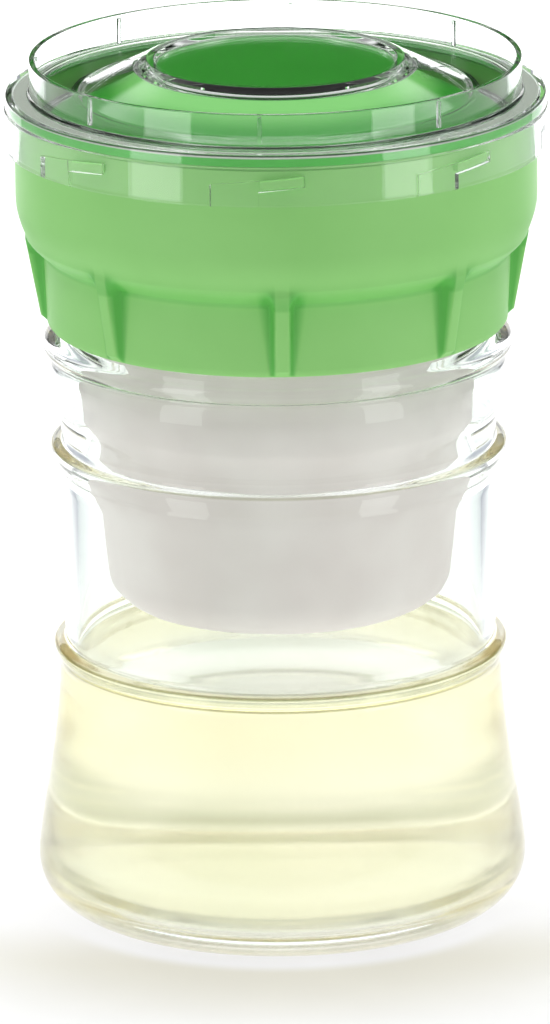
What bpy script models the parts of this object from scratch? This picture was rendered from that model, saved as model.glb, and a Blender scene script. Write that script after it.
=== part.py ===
"""Kefir cheese maker: a waisted glass jar with a green screw-on bowl, a mesh strainer bag
on a hoop, a spring press that hangs from a green cap, and a clear bayonet cover.

All sizes are in metres. The jar stands on Z = 0 with its axis on Z, and its front faces -Y.
Angles run anticlockwise as seen from above, so they grow to the right on the front.
"""
import math

import bmesh
import bpy
from mathutils import Matrix, Vector

# Shared clearances and fineness
TOUCH_GAP = 0.0003
TURN_STEPS = 40
INNER_TURN_STEPS = 28
SMALL_TURN_STEPS = 20
SHARP_ANGLE = math.radians(35)

# Glass jar
MOUTH_RADIUS = 0.0428
GLASS_WALL = 0.0030
GLASS_BASE = 0.0060
PUNT_DEPTH = 0.0018
FOOT_RING_WIDTH = 0.0030
WAIST_SWELL = 0.0007
FOOT_TOP_SWELL = 0.0010
BASE_FLARE = 0.0064
SHOULDER_SWELL = 0.0026
RIDGE_PROUD = 0.0025
RIDGE_RISE = 0.0026
UPPER_RIDGE_DROP = 0.0070
LOWER_RIDGE_DROP = 0.0040
BEAD_PROUD = 0.0015
BEAD_HALF_HEIGHT = 0.0019
RIM_ROUND = 0.0009
HEEL_ROUND = 0.0105
FOOT_HEIGHT = 0.0585
WAIST_HEIGHT = 0.0457
SHOULDER_HEIGHT = 0.0211
NECK_HEIGHT = 0.0167

# Whey that has drained into the jar's foot
WHEY_DEPTH = 0.0505

# Screw thread between jar and collar
THREAD_PITCH = 0.0050
THREAD_DEPTH = 0.0014
THREAD_CLEARANCE = 0.0004
THREAD_CREST = 0.0010
THREAD_ROOT = 0.0022
THREAD_LEAD_IN = 0.0069
THREAD_LEAD_OUT = 0.0031
THREAD_RUN_OUT = math.radians(25)

# Jar gasket
GASKET_THICKNESS = 0.0012
GASKET_WIDTH = 0.0032

# Green collar, the bowl that screws onto the jar
COLLAR_WALL = 0.0018
COLLAR_DRAFT = 0.0006
COLLAR_BEAD_GAP = 0.0045
ROOF_THICKNESS = 0.0022
ROOF_CLEARANCE = 0.0003
SHOULDER_STEP = 0.0040
SHOULDER_RISE = 0.0034
SHOULDER_LIFT = 0.0003
BOWL_SWELL = 0.0018
BOWL_CURVE_HEIGHT = 0.0078
BOWL_HEIGHT = 0.0306
BOWL_WALL = 0.0024
LEDGE_DEPTH = 0.0070
LEDGE_WIDTH = 0.0020
LEDGE_THICKNESS = 0.0010
RIB_COUNT = 8
RIB_PROUD = 0.0018
RIB_HALF_WIDTH = 0.0016
RIB_FLARE = 0.0024
RIB_FOOT_LIFT = 0.0016

# Bayonet between collar and cover
LUG_COUNT = 8
LUG_SPAN = math.radians(9.1)
LUG_HEIGHT = 0.00185
LUG_PROUD = 0.00145
LUG_DROP = 0.0029
BAYONET_CLIMB = 0.0055
BAYONET_PLAY = 0.0003
BAYONET_TWIST = math.radians(9.9)

# Strainer: hoop, mesh bag and clamp ring
STRAINER_CLEARANCE = 0.0009
HOOP_WALL = 0.0012
HOOP_FLANGE_THICKNESS = 0.0015
HOOP_FLANGE_WIDTH = 0.0047
HOOP_DEPTH = 0.0194
BAG_CLOTH = 0.0007
BAG_DEPTH = 0.0806
BAG_BULGE = 0.0011
BAG_BULGE_DROP = 0.0155
BAG_TAPER = 0.0031
BAG_CORNER_ROUND = 0.0080
CLAMP_THICKNESS = 0.0015
CLAMP_LIP = 0.0010

# Spring press
PRESS_STROKE = 0.042
PLATE_REST_LIFT = 0.0074
PLATE_CLEARANCE = 0.0036
PLATE_THICKNESS = 0.0020
PLATE_RIM_WIDTH = 0.0016
PLATE_RIM_HEIGHT = 0.0016
PLATE_HUB_HEIGHT = 0.0076
PLATE_HOLE_RADIUS = 0.0019
PLATE_HOLES_INNER = 10
PLATE_HOLES_OUTER = 16
SPRING_RIB_HEIGHT = 0.0022
SPRING_RIB_WIDTH = 0.0016
STEM_RADIUS = 0.0034
STEM_FIT = 0.0003
GUIDE_CLEARANCE = 0.0005
GUIDE_WALL = 0.0014
GUIDE_LEDGE = 0.0023
WASHER_RADIUS = 0.0052
WASHER_THICKNESS = 0.0010
SCREW_HEAD_RADIUS = 0.0030
SCREW_HEAD_HEIGHT = 0.0018
SCREW_SHANK_RADIUS = 0.0013
SCREW_SHANK_LENGTH = 0.0080
FIRM_WIRE = 0.0018
SOFT_WIRE = 0.0012
FIRM_SPRING_TURNS = 10
SOFT_SPRING_TURNS = 12
SPRING_SPACING = 0.0014
SPRING_POINTS = 8
CLOSED_TURN_GAP = 0.0006

# Green press cap and its top disc
CAP_SKIN = 0.0018
CAP_LIP_WIDTH = 0.0013
CAP_LIP_HEIGHT = 0.0020
CAP_RIM_WIDTH = 0.0030
CAP_RIM_CLEARANCE = 0.0007
CAP_RIM_THICKNESS = 0.0022
DISC_THICKNESS = 0.0020
DISC_SPIGOT = 0.0020
DISC_EDGE_ROUND = 0.0003

# Clear cover and its seal
COVER_SKIN = 0.0014
SEAL_THICKNESS = 0.0013
SEAL_WIDTH = 0.0020
SKIRT_CLEARANCE = 0.0007
SKIRT_WALL = 0.00185
SKIRT_DROP = 0.0078
SLOT_DEPTH = 0.0011
COVER_STEP = 0.0006
FLANGE_WIDTH = 0.0052
FLANGE_EDGE_HEIGHT = 0.0024
STACK_RING_WALL = 0.0012
STACK_RING_HEIGHT = 0.0075
HUB_RADIUS = 0.0289
HUB_RING_WIDTH = 0.0030
HUB_RING_HEIGHT = 0.0012
HUB_RISE = 0.0060
FLOOR_LIFT = 0.0003
CROWN_HEIGHT = 0.0062
CROWN_FOOT_RADIUS = 0.0420
CROWN_FOOT_ROUND = 0.0012
TICK_PROUD = 0.0004
TICK_HALF_ANGLE = math.radians(0.4)

# Levels and radii that follow from the sizes above, from the table up
NECK_RADIUS = MOUTH_RADIUS + GLASS_WALL
WAIST_RADIUS = NECK_RADIUS + WAIST_SWELL
FOOT_TOP_RADIUS = WAIST_RADIUS + FOOT_TOP_SWELL
BASE_RADIUS = WAIST_RADIUS + BASE_FLARE
SHOULDER_RADIUS = WAIST_RADIUS + SHOULDER_SWELL
LOWER_RIDGE_Z = FOOT_HEIGHT
UPPER_RIDGE_Z = LOWER_RIDGE_Z + WAIST_HEIGHT
BEAD_Z = UPPER_RIDGE_Z + SHOULDER_HEIGHT
RIM_Z = BEAD_Z + NECK_HEIGHT

THREAD_START_Z = BEAD_Z + THREAD_LEAD_IN
THREAD_END_Z = RIM_Z - THREAD_LEAD_OUT
THREAD_OFFSET = (THREAD_CREST + THREAD_ROOT) / 2 + THREAD_CLEARANCE
BORE_RADIUS = NECK_RADIUS + THREAD_DEPTH + THREAD_CLEARANCE

GASKET_Z = RIM_Z + TOUCH_GAP
ROOF_Z = GASKET_Z + GASKET_THICKNESS + TOUCH_GAP
SEAT_Z = ROOF_Z + ROOF_THICKNESS
COLLAR_BOTTOM_Z = BEAD_Z + COLLAR_BEAD_GAP
LOWER_WALL_RADIUS = BORE_RADIUS + COLLAR_WALL
UPPER_WALL_RADIUS = LOWER_WALL_RADIUS + COLLAR_DRAFT
SHOULDER_Z = SEAT_Z + SHOULDER_LIFT
SHOULDER_EDGE_Z = SHOULDER_Z + SHOULDER_RISE
SHOULDER_EDGE_RADIUS = UPPER_WALL_RADIUS + SHOULDER_STEP
BOWL_RADIUS = SHOULDER_EDGE_RADIUS + BOWL_SWELL
BOWL_INNER_RADIUS = BOWL_RADIUS - BOWL_WALL
COLLAR_TOP_Z = SEAT_Z + BOWL_HEIGHT
LEDGE_Z = COLLAR_TOP_Z - LEDGE_DEPTH
LUG_Z = COLLAR_TOP_Z - LUG_DROP

HOOP_OUTER_RADIUS = MOUTH_RADIUS - STRAINER_CLEARANCE
HOOP_INNER_RADIUS = HOOP_OUTER_RADIUS - HOOP_WALL
HOOP_FLANGE_RADIUS = HOOP_OUTER_RADIUS + HOOP_FLANGE_WIDTH
HOOP_Z = SEAT_Z + TOUCH_GAP
HOOP_TOP_Z = HOOP_Z + HOOP_FLANGE_THICKNESS
HOOP_BOTTOM_Z = HOOP_TOP_Z - HOOP_DEPTH
BAG_TOP_Z = HOOP_TOP_Z + TOUCH_GAP + BAG_CLOTH
BAG_BOTTOM_Z = BAG_TOP_Z - BAG_DEPTH
BAG_NECK_RADIUS = HOOP_INNER_RADIUS - TOUCH_GAP
BAG_FOOT_RADIUS = BAG_NECK_RADIUS - BAG_TAPER
CLAMP_Z = BAG_TOP_Z + TOUCH_GAP
CLAMP_TOP_Z = CLAMP_Z + CLAMP_THICKNESS
CLAMP_LIP_RADIUS = HOOP_FLANGE_RADIUS + TOUCH_GAP
CLAMP_RADIUS = CLAMP_LIP_RADIUS + CLAMP_LIP
SEAT_RADIUS = CLAMP_RADIUS + ROOF_CLEARANCE

SEAL_Z = COLLAR_TOP_Z + TOUCH_GAP
FLANGE_UNDER_Z = SEAL_Z + SEAL_THICKNESS + TOUCH_GAP
FLANGE_TOP_Z = FLANGE_UNDER_Z + COVER_SKIN
SKIRT_INNER_RADIUS = BOWL_RADIUS + SKIRT_CLEARANCE
SKIRT_RADIUS = SKIRT_INNER_RADIUS + SKIRT_WALL
FLANGE_RADIUS = SKIRT_RADIUS - COVER_STEP
STACK_RING_RADIUS = FLANGE_RADIUS - FLANGE_WIDTH
STACK_RING_TOP_Z = FLANGE_TOP_Z + STACK_RING_HEIGHT
HUB_FLOOR_Z = FLANGE_TOP_Z + HUB_RISE
HUB_UNDER_Z = HUB_FLOOR_Z - COVER_SKIN
HUB_FLOOR_RADIUS = HUB_RADIUS - HUB_RING_WIDTH
FLOOR_Z = FLANGE_TOP_Z + FLOOR_LIFT
CROWN_Z = FLOOR_Z + CROWN_HEIGHT
CROWN_SLOPE = CROWN_HEIGHT / (CROWN_FOOT_RADIUS - HUB_RADIUS)
CROWN_UNDER_Z = CROWN_Z - COVER_SKIN * math.hypot(1, CROWN_SLOPE)

DISC_RADIUS = HUB_FLOOR_RADIUS - TOUCH_GAP
DISC_TOP_Z = HUB_UNDER_Z - TOUCH_GAP
DISC_Z = DISC_TOP_Z - DISC_THICKNESS
CAP_TOP_Z = DISC_Z - TOUCH_GAP
CAP_UNDER_Z = CAP_TOP_Z - CAP_SKIN
CAP_RADIUS = BOWL_INNER_RADIUS - CAP_RIM_CLEARANCE
CAP_Z = LEDGE_Z + TOUCH_GAP
GUIDE_RADIUS = WASHER_RADIUS + GUIDE_CLEARANCE
GUIDE_OUTER_RADIUS = GUIDE_RADIUS + GUIDE_WALL
SPIGOT_Z = DISC_Z - DISC_SPIGOT
HEAD_HEIGHT = WASHER_THICKNESS + SCREW_HEAD_HEIGHT + 2 * TOUCH_GAP
LEDGE_TOP_Z = SPIGOT_Z - GUIDE_LEDGE - HEAD_HEIGHT - PRESS_STROKE
GUIDE_BOTTOM_Z = LEDGE_TOP_Z - GUIDE_LEDGE

PLATE_Z = BAG_BOTTOM_Z + BAG_CLOTH + PLATE_REST_LIFT
PLATE_TOP_Z = PLATE_Z + PLATE_THICKNESS
PLATE_RADIUS = BAG_FOOT_RADIUS - BAG_CLOTH - PLATE_CLEARANCE
HUB_BORE_RADIUS = STEM_RADIUS + STEM_FIT
SOFT_SPRING_RADIUS = GUIDE_OUTER_RADIUS + SPRING_SPACING + SOFT_WIRE / 2
SPRING_RIB_INNER_RADIUS = SOFT_SPRING_RADIUS + SOFT_WIRE / 2 + TOUCH_GAP
SPRING_RIB_OUTER_RADIUS = SPRING_RIB_INNER_RADIUS + SPRING_RIB_WIDTH
FIRM_SPRING_RADIUS = SPRING_RIB_OUTER_RADIUS + SPRING_SPACING + FIRM_WIRE / 2

PATTERN_STEP = math.tau / RIB_COUNT
LUG_STEP = math.tau / LUG_COUNT
FRONT = -math.pi / 2


def from_srgb(red, green, blue):
    """Turn an 8-bit screen colour into the linear colour that a shader takes."""
    linear = []
    for channel in (red, green, blue):
        value = channel / 255
        linear.append(value / 12.92 if value <= 0.04045 else ((value + 0.055) / 1.055) ** 2.4)
    return (*linear, 1.0)


def make_material(name, colour, roughness, metallic=0.0, transmission=0.0):
    """One Principled material for one kind of piece."""
    material = bpy.data.materials.new(name)
    material.use_nodes = True
    shader = material.node_tree.nodes["Principled BSDF"]
    shader.inputs["Base Color"].default_value = colour
    shader.inputs["Roughness"].default_value = roughness
    shader.inputs["Metallic"].default_value = metallic
    shader.inputs["Transmission Weight"].default_value = transmission
    material.diffuse_color = colour
    return material


def new_collection(name):
    collection = bpy.data.collections.new(name)
    bpy.context.scene.collection.children.link(collection)
    return collection


def add_object(name, data, collection, material=None):
    """Put a mesh or curve into a collection under its own name."""
    item = bpy.data.objects.new(name, data)
    collection.objects.link(item)
    if material:
        data.materials.append(material)
    return item


def add_tool(name, mesh):
    """A solid that only shapes another piece: it shows as a wire and never renders."""
    tool = add_object(name, mesh, TOOLS)
    tool.hide_render = True
    tool.display_type = "WIRE"
    return tool


def shape_with(target, tool, operation):
    """Join a tool to a piece, or cut it out of the piece."""
    boolean = target.modifiers.new(tool.name, "BOOLEAN")
    boolean.operation = operation
    boolean.solver = "EXACT"
    boolean.object = tool


def mesh_from(bm, name):
    """Close a bmesh into a mesh whose faces point out."""
    bmesh.ops.recalc_face_normals(bm, faces=bm.faces)
    mesh = bpy.data.meshes.new(name)
    bm.to_mesh(mesh)
    bm.free()
    mesh.shade_smooth()
    mesh.set_sharp_from_angle(angle=SHARP_ANGLE)
    return mesh


def turned(name, outline, material, steps=TURN_STEPS):
    """Turn an outline of (radius, height) points about Z.

    The outline runs down its outer side. One that starts and ends on the axis stays open
    there, and any other is closed into a ring.
    """
    on_axis = outline[0][0] == 0 and outline[-1][0] == 0
    mesh = bpy.data.meshes.new(name)
    corners = [(radius, 0, height) for radius, height in outline]
    edges = [(index, index + 1) for index in range(len(corners) - 1)]
    if not on_axis:
        edges.append((len(corners) - 1, 0))
    mesh.from_pydata(corners, edges, [])
    item = add_object(name, mesh, PARTS, material)
    screw = item.modifiers.new("turn", "SCREW")
    screw.steps = steps
    screw.render_steps = steps
    screw.use_merge_vertices = True
    screw.merge_threshold = 0.00001
    screw.use_smooth_shade = True
    return item


def arc(centre, radius, start, end, count):
    """Points on a round stretch of an outline, in (radius, height), from start to end degrees."""
    points = []
    for index in range(count + 1):
        angle = math.radians(start + (end - start) * index / count)
        points.append((centre[0] + radius * math.cos(angle), centre[1] + radius * math.sin(angle)))
    return points


def blend_line(low, high, start_slope, end_slope, count):
    """Smooth stretch from one (radius, height) point to another, without its two ends.

    The slopes tell how fast the radius changes at each end, against an even change of 1.
    """
    points = []
    for index in range(1, count):
        t = index / count
        share = (
            (t ** 3 - 2 * t ** 2 + t) * start_slope
            + (3 * t ** 2 - 2 * t ** 3)
            + (t ** 3 - t ** 2) * end_slope
        )
        points.append((low[0] + (high[0] - low[0]) * share, low[1] + (high[1] - low[1]) * t))
    return points


def add_arc_ridge(bm, section, start, sweep, steps, climb=0.0, run_out=0.0):
    """Sweep a section of (radius, height) points about Z, climbing by metres per radian.

    With a run-out, both ends sink back towards the section's first radius.
    """
    rings = []
    root = section[0][0]
    for step in range(steps + 1):
        turned_by = sweep * step / steps
        angle = start + turned_by
        depth = 1.0
        if run_out:
            depth = max(0.3, min(1.0, turned_by / run_out, (sweep - turned_by) / run_out))
        ring = []
        for radius, height in section:
            reach = root + (radius - root) * depth
            ring.append(bm.verts.new((
                reach * math.cos(angle),
                reach * math.sin(angle),
                height + climb * turned_by,
            )))
        rings.append(ring)
    corners = len(section)
    for ring, following in zip(rings, rings[1:]):
        for index in range(corners):
            beside = (index + 1) % corners
            bm.faces.new((ring[index], ring[beside], following[beside], following[index]))
    bm.faces.new(reversed(rings[0]))
    bm.faces.new(rings[-1])


def ring_section(root, crest, low, high):
    """Square section for a lug, a slot or a mark, from its root radius to its crest radius."""
    return [(root, low), (crest, low), (crest, high), (root, high)]


def thread_ridge(name, root, crest, start_z, end_z, start_z_of_helix):
    """One right-handed thread ridge on the helix that passes start_z_of_helix at angle 0."""
    climb = THREAD_PITCH / math.tau
    start = (start_z - start_z_of_helix) / climb
    sweep = (end_z - start_z) / climb
    section = [
        (root, start_z - THREAD_ROOT / 2),
        (crest, start_z - THREAD_CREST / 2),
        (crest, start_z + THREAD_CREST / 2),
        (root, start_z + THREAD_ROOT / 2),
    ]
    bm = bmesh.new()
    steps = round(sweep / math.tau * TURN_STEPS)
    add_arc_ridge(bm, section, start, sweep, steps, climb, THREAD_RUN_OUT)
    return add_tool(name, mesh_from(bm, name))


def ridge_outline(height, below, drop):
    """A pressed glass ridge, listed downwards: a steep rounded top and a long hollow flank."""
    crest = WAIST_RADIUS + RIDGE_PROUD
    return [
        (WAIST_RADIUS, height + RIDGE_RISE),
        (WAIST_RADIUS + RIDGE_PROUD * 0.8, height + RIDGE_RISE * 0.5),
        (crest, height),
        (crest - (crest - below) * 0.25, height - drop * 0.35),
        (below + (crest - below) * 0.22, height - drop * 0.65),
        (below, height - drop),
    ]


def jar_outer_outline():
    """The jar's outside from the rim down to the foot ring."""
    bead = SHOULDER_RADIUS + BEAD_PROUD
    bead_foot_z = BEAD_Z - BEAD_HALF_HEIGHT
    outline = [
        (NECK_RADIUS - RIM_ROUND, RIM_Z),
        (NECK_RADIUS, RIM_Z - RIM_ROUND),
        (NECK_RADIUS, BEAD_Z + BEAD_HALF_HEIGHT * 1.6),
        (SHOULDER_RADIUS, BEAD_Z + BEAD_HALF_HEIGHT),
        (bead - BEAD_PROUD * 0.25, BEAD_Z + BEAD_HALF_HEIGHT * 0.5),
        (bead, BEAD_Z),
        (bead - BEAD_PROUD * 0.35, BEAD_Z - BEAD_HALF_HEIGHT * 0.6),
        (SHOULDER_RADIUS, bead_foot_z),
    ]
    ridge_top_z = UPPER_RIDGE_Z + RIDGE_RISE
    shoulder_steps = 4
    for index in range(1, shoulder_steps):
        share = 1 - index / shoulder_steps
        radius = WAIST_RADIUS + SHOULDER_SWELL * math.sin(share * math.pi / 2)
        outline.append((radius, ridge_top_z + (bead_foot_z - ridge_top_z) * share))
    outline += ridge_outline(UPPER_RIDGE_Z, WAIST_RADIUS, UPPER_RIDGE_DROP)
    outline += ridge_outline(LOWER_RIDGE_Z, FOOT_TOP_RADIUS, LOWER_RIDGE_DROP)
    foot_top = (FOOT_TOP_RADIUS, LOWER_RIDGE_Z - LOWER_RIDGE_DROP)
    heel_top = (BASE_RADIUS, HEEL_ROUND * 1.2)
    outline += blend_line(foot_top, heel_top, 0.3, 0.6, 6)
    heel_centre = (BASE_RADIUS - HEEL_ROUND, HEEL_ROUND)
    outline += arc(heel_centre, HEEL_ROUND, 0, -90, 5)
    ring_inner = BASE_RADIUS - HEEL_ROUND - FOOT_RING_WIDTH
    outline.append((ring_inner, 0))
    outline.append((ring_inner * 0.85, PUNT_DEPTH))
    outline.append((0, PUNT_DEPTH))
    return outline


def jar_foot_inside(inset):
    """The inside of the jar's foot, from the middle of its floor up to the lower ridge.

    An inset draws it in from the glass, for what fills the foot.
    """
    heel = HEEL_ROUND - GLASS_WALL - inset
    inner_base = BASE_RADIUS - GLASS_WALL - inset
    floor_z = GLASS_BASE + inset
    heel_top = (inner_base, floor_z + heel * 1.3)
    foot_top = (FOOT_TOP_RADIUS - GLASS_WALL - inset, LOWER_RIDGE_Z - LOWER_RIDGE_DROP)
    outline = [(0, floor_z)]
    outline += arc((inner_base - heel, floor_z + heel), heel, -90, 0, 3)
    outline += blend_line(heel_top, foot_top, 0.6, 0.3, 3)
    outline.append(foot_top)
    return outline


def jar_inner_outline():
    """The jar's inside from the middle of its floor up to the rim."""
    waist = WAIST_RADIUS - GLASS_WALL
    outline = jar_foot_inside(0)
    outline.append((waist, LOWER_RIDGE_Z + RIDGE_RISE))
    outline.append((waist, UPPER_RIDGE_Z - RIDGE_RISE))
    shoulder_inner = SHOULDER_RADIUS - GLASS_WALL
    outline.append(((waist + shoulder_inner) / 2, UPPER_RIDGE_Z + SHOULDER_HEIGHT * 0.3))
    outline.append((shoulder_inner, UPPER_RIDGE_Z + SHOULDER_HEIGHT * 0.62))
    outline.append((shoulder_inner - GLASS_WALL * 0.15, BEAD_Z - BEAD_HALF_HEIGHT))
    outline.append((MOUTH_RADIUS, BEAD_Z + BEAD_HALF_HEIGHT * 1.6))
    outline.append((MOUTH_RADIUS, RIM_Z - RIM_ROUND))
    outline.append((MOUTH_RADIUS + RIM_ROUND, RIM_Z))
    return outline


def make_jar():
    """Pressed glass jar with two ridges, a transfer bead, a flared foot and a screw neck."""
    outline = jar_inner_outline() + jar_outer_outline()
    jar = turned("jar", outline, GLASS)
    ridge = thread_ridge(
        "jar_thread",
        NECK_RADIUS - THREAD_CLEARANCE,
        NECK_RADIUS + THREAD_DEPTH,
        THREAD_START_Z,
        THREAD_END_Z,
        THREAD_START_Z,
    )
    shape_with(jar, ridge, "UNION")
    return jar


def make_whey():
    """Whey up to its level in the jar, a little way in from the glass."""
    level = GLASS_BASE + TOUCH_GAP + WHEY_DEPTH
    outline = jar_foot_inside(TOUCH_GAP)
    foot_radius, foot_z = outline[-1]
    share = (level - foot_z) / (LOWER_RIDGE_Z + RIDGE_RISE - foot_z)
    waist_radius = WAIST_RADIUS - GLASS_WALL - TOUCH_GAP
    outline.append((foot_radius + (waist_radius - foot_radius) * share, level))
    outline.append((0, level))
    outline.reverse()
    return turned("whey", outline, WHEY, INNER_TURN_STEPS)


def flat_ring(name, inner, outer, low, high, material, edge):
    """Flat ring with small chamfers on its outer edges."""
    outline = [
        (inner, high),
        (outer - edge, high),
        (outer, high - edge),
        (outer, low + edge),
        (outer - edge, low),
        (inner, low),
    ]
    return turned(name, outline, material, INNER_TURN_STEPS)


def make_jar_gasket():
    """Silicone ring between the jar's rim and the collar's roof."""
    inner = MOUTH_RADIUS + TOUCH_GAP
    return flat_ring(
        "jar_gasket", inner, inner + GASKET_WIDTH, GASKET_Z,
        GASKET_Z + GASKET_THICKNESS, SILICONE, GASKET_THICKNESS * 0.25,
    )


def bowl_outer_outline():
    """Convex stretch of the collar between the shoulder's edge and the straight bowl wall."""
    points = []
    count = 4
    for index in range(count + 1):
        share = 1 - index / count
        radius = SHOULDER_EDGE_RADIUS + BOWL_SWELL * math.sin(share * math.pi / 2)
        points.append((radius, SHOULDER_EDGE_Z + BOWL_CURVE_HEIGHT * share))
    return points


def add_collar_rib(bm, angle):
    """Grip rib: a fin that widens into the shoulder above it."""
    rib_foot_z = COLLAR_BOTTOM_Z + RIB_FOOT_LIFT
    wall = LOWER_WALL_RADIUS
    upper = UPPER_WALL_RADIUS
    edge = SHOULDER_EDGE_RADIUS
    levels = [
        (rib_foot_z, wall - COLLAR_WALL * 0.4, wall + RIB_PROUD * 0.5, RIB_HALF_WIDTH * 0.8),
        (rib_foot_z + RIB_HALF_WIDTH, wall - COLLAR_WALL * 0.4, wall + RIB_PROUD, RIB_HALF_WIDTH),
        (SHOULDER_Z - RIB_FLARE * 2, upper - COLLAR_WALL * 0.4, edge - BOWL_SWELL * 0.55, RIB_HALF_WIDTH),
        (SHOULDER_Z, upper - COLLAR_WALL * 0.3, edge - BOWL_SWELL * 0.22, RIB_HALF_WIDTH + RIB_FLARE * 0.4),
        (
            SHOULDER_EDGE_Z - SHOULDER_RISE * 0.3, upper + SHOULDER_STEP * 0.45,
            edge - BOWL_SWELL * 0.05, RIB_HALF_WIDTH + RIB_FLARE,
        ),
        (
            SHOULDER_EDGE_Z + SHOULDER_RISE * 0.3, edge - BOWL_WALL * 0.5,
            edge + BOWL_SWELL * 0.05, RIB_HALF_WIDTH + RIB_FLARE,
        ),
    ]
    turn = Matrix.Rotation(angle, 3, "Z")
    rings = []
    for height, inner, outer, half_width in levels:
        crown = half_width * 0.6
        corners = ((inner, -half_width), (outer, -crown), (outer, crown), (inner, half_width))
        rings.append([bm.verts.new(turn @ Vector((x, y, height))) for x, y in corners])
    for ring, following in zip(rings, rings[1:]):
        for index in range(4):
            beside = (index + 1) % 4
            bm.faces.new((ring[index], ring[beside], following[beside], following[index]))
    bm.faces.new(reversed(rings[0]))
    bm.faces.new(rings[-1])


def make_collar():
    """Green bowl: it screws onto the jar, seats the strainer and carries the bayonet lugs."""
    edge = BOWL_WALL * 0.15
    mid_inner = SHOULDER_EDGE_RADIUS - BOWL_WALL
    roof_inner = MOUTH_RADIUS + ROOF_CLEARANCE
    outline = [
        (BOWL_INNER_RADIUS + edge, COLLAR_TOP_Z),
        (BOWL_RADIUS - edge, COLLAR_TOP_Z),
        (BOWL_RADIUS, COLLAR_TOP_Z - edge),
    ]
    outline += bowl_outer_outline()
    outline += [
        (UPPER_WALL_RADIUS + SHOULDER_STEP * 0.25, SHOULDER_Z + SHOULDER_RISE * 0.08),
        (UPPER_WALL_RADIUS, SHOULDER_Z - SHOULDER_RISE * 0.15),
        (LOWER_WALL_RADIUS, COLLAR_BOTTOM_Z + edge),
        (LOWER_WALL_RADIUS - edge, COLLAR_BOTTOM_Z),
        (BORE_RADIUS + edge * 2, COLLAR_BOTTOM_Z),
        (BORE_RADIUS, COLLAR_BOTTOM_Z + edge * 3),
        (BORE_RADIUS, ROOF_Z),
        (roof_inner, ROOF_Z),
        (roof_inner, SEAT_Z),
        (SEAT_RADIUS, SEAT_Z),
        (SEAT_RADIUS, SHOULDER_Z + SHOULDER_RISE * 0.6),
        (mid_inner, SHOULDER_EDGE_Z + BOWL_WALL * 0.7),
        (BOWL_INNER_RADIUS, SHOULDER_EDGE_Z + BOWL_CURVE_HEIGHT),
        (BOWL_INNER_RADIUS, LEDGE_Z - LEDGE_THICKNESS - LEDGE_WIDTH),
        (BOWL_INNER_RADIUS - LEDGE_WIDTH, LEDGE_Z - LEDGE_THICKNESS),
        (BOWL_INNER_RADIUS - LEDGE_WIDTH, LEDGE_Z),
        (BOWL_INNER_RADIUS, LEDGE_Z),
        (BOWL_INNER_RADIUS, COLLAR_TOP_Z - edge),
    ]
    collar = turned("collar", outline, LIGHT_GREEN)

    ribs = bmesh.new()
    for index in range(RIB_COUNT):
        add_collar_rib(ribs, FRONT + index * PATTERN_STEP)
    shape_with(collar, add_tool("collar_ribs", mesh_from(ribs, "collar_ribs")), "UNION")

    lugs = bmesh.new()
    root = BOWL_RADIUS - BOWL_WALL * 0.4
    crest = BOWL_RADIUS + LUG_PROUD
    half = LUG_HEIGHT / 2
    start_z = LUG_Z - BAYONET_CLIMB * LUG_SPAN / 2
    section = ring_section(root, crest, start_z - half, start_z + half)
    for index in range(LUG_COUNT):
        middle = FRONT + index * LUG_STEP
        add_arc_ridge(lugs, section, middle - LUG_SPAN / 2, LUG_SPAN, 2, BAYONET_CLIMB)
    shape_with(collar, add_tool("collar_lugs", mesh_from(lugs, "collar_lugs")), "UNION")

    helix_z = THREAD_START_Z - THREAD_OFFSET
    ridge = thread_ridge(
        "collar_thread",
        BORE_RADIUS + THREAD_CLEARANCE,
        BORE_RADIUS - THREAD_DEPTH,
        COLLAR_BOTTOM_Z + THREAD_PITCH * 0.6,
        ROOF_Z - THREAD_PITCH * 0.9,
        helix_z,
    )
    shape_with(collar, ridge, "UNION")
    return collar


def make_strainer_hoop():
    """Rigid hoop that hangs the bag in the jar's mouth."""
    edge = HOOP_WALL * 0.25
    outline = [
        (HOOP_INNER_RADIUS + edge, HOOP_TOP_Z),
        (HOOP_FLANGE_RADIUS, HOOP_TOP_Z),
        (HOOP_FLANGE_RADIUS, HOOP_Z),
        (HOOP_OUTER_RADIUS + edge, HOOP_Z),
        (HOOP_OUTER_RADIUS, HOOP_Z - edge),
        (HOOP_OUTER_RADIUS, HOOP_BOTTOM_Z + edge),
        (HOOP_OUTER_RADIUS - edge, HOOP_BOTTOM_Z),
        (HOOP_INNER_RADIUS + edge, HOOP_BOTTOM_Z),
        (HOOP_INNER_RADIUS, HOOP_BOTTOM_Z + edge),
        (HOOP_INNER_RADIUS, HOOP_TOP_Z - edge),
    ]
    return turned("strainer_hoop", outline, NATURAL_PLASTIC, INNER_TURN_STEPS)


def bag_wall(outer):
    """One side of the bag's cloth, from the hoop's foot down to the middle of its floor."""
    inset = 0 if outer else BAG_CLOTH
    bulge_z = HOOP_BOTTOM_Z - BAG_BULGE_DROP
    taper_z = bulge_z - BAG_BULGE_DROP * 0.3
    corner = BAG_CORNER_ROUND - inset
    floor_z = BAG_BOTTOM_Z + inset
    foot = BAG_FOOT_RADIUS - inset
    points = [
        (BAG_NECK_RADIUS - inset, HOOP_BOTTOM_Z),
        (BAG_NECK_RADIUS + BAG_BULGE * 0.8 - inset, bulge_z + BAG_BULGE_DROP * 0.4),
        (BAG_NECK_RADIUS + BAG_BULGE - inset, bulge_z),
        (BAG_NECK_RADIUS - inset, taper_z),
    ]
    points += arc((foot - corner, floor_z + corner), corner, 0, -90, 4)
    points.append((0, floor_z))
    return points


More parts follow.
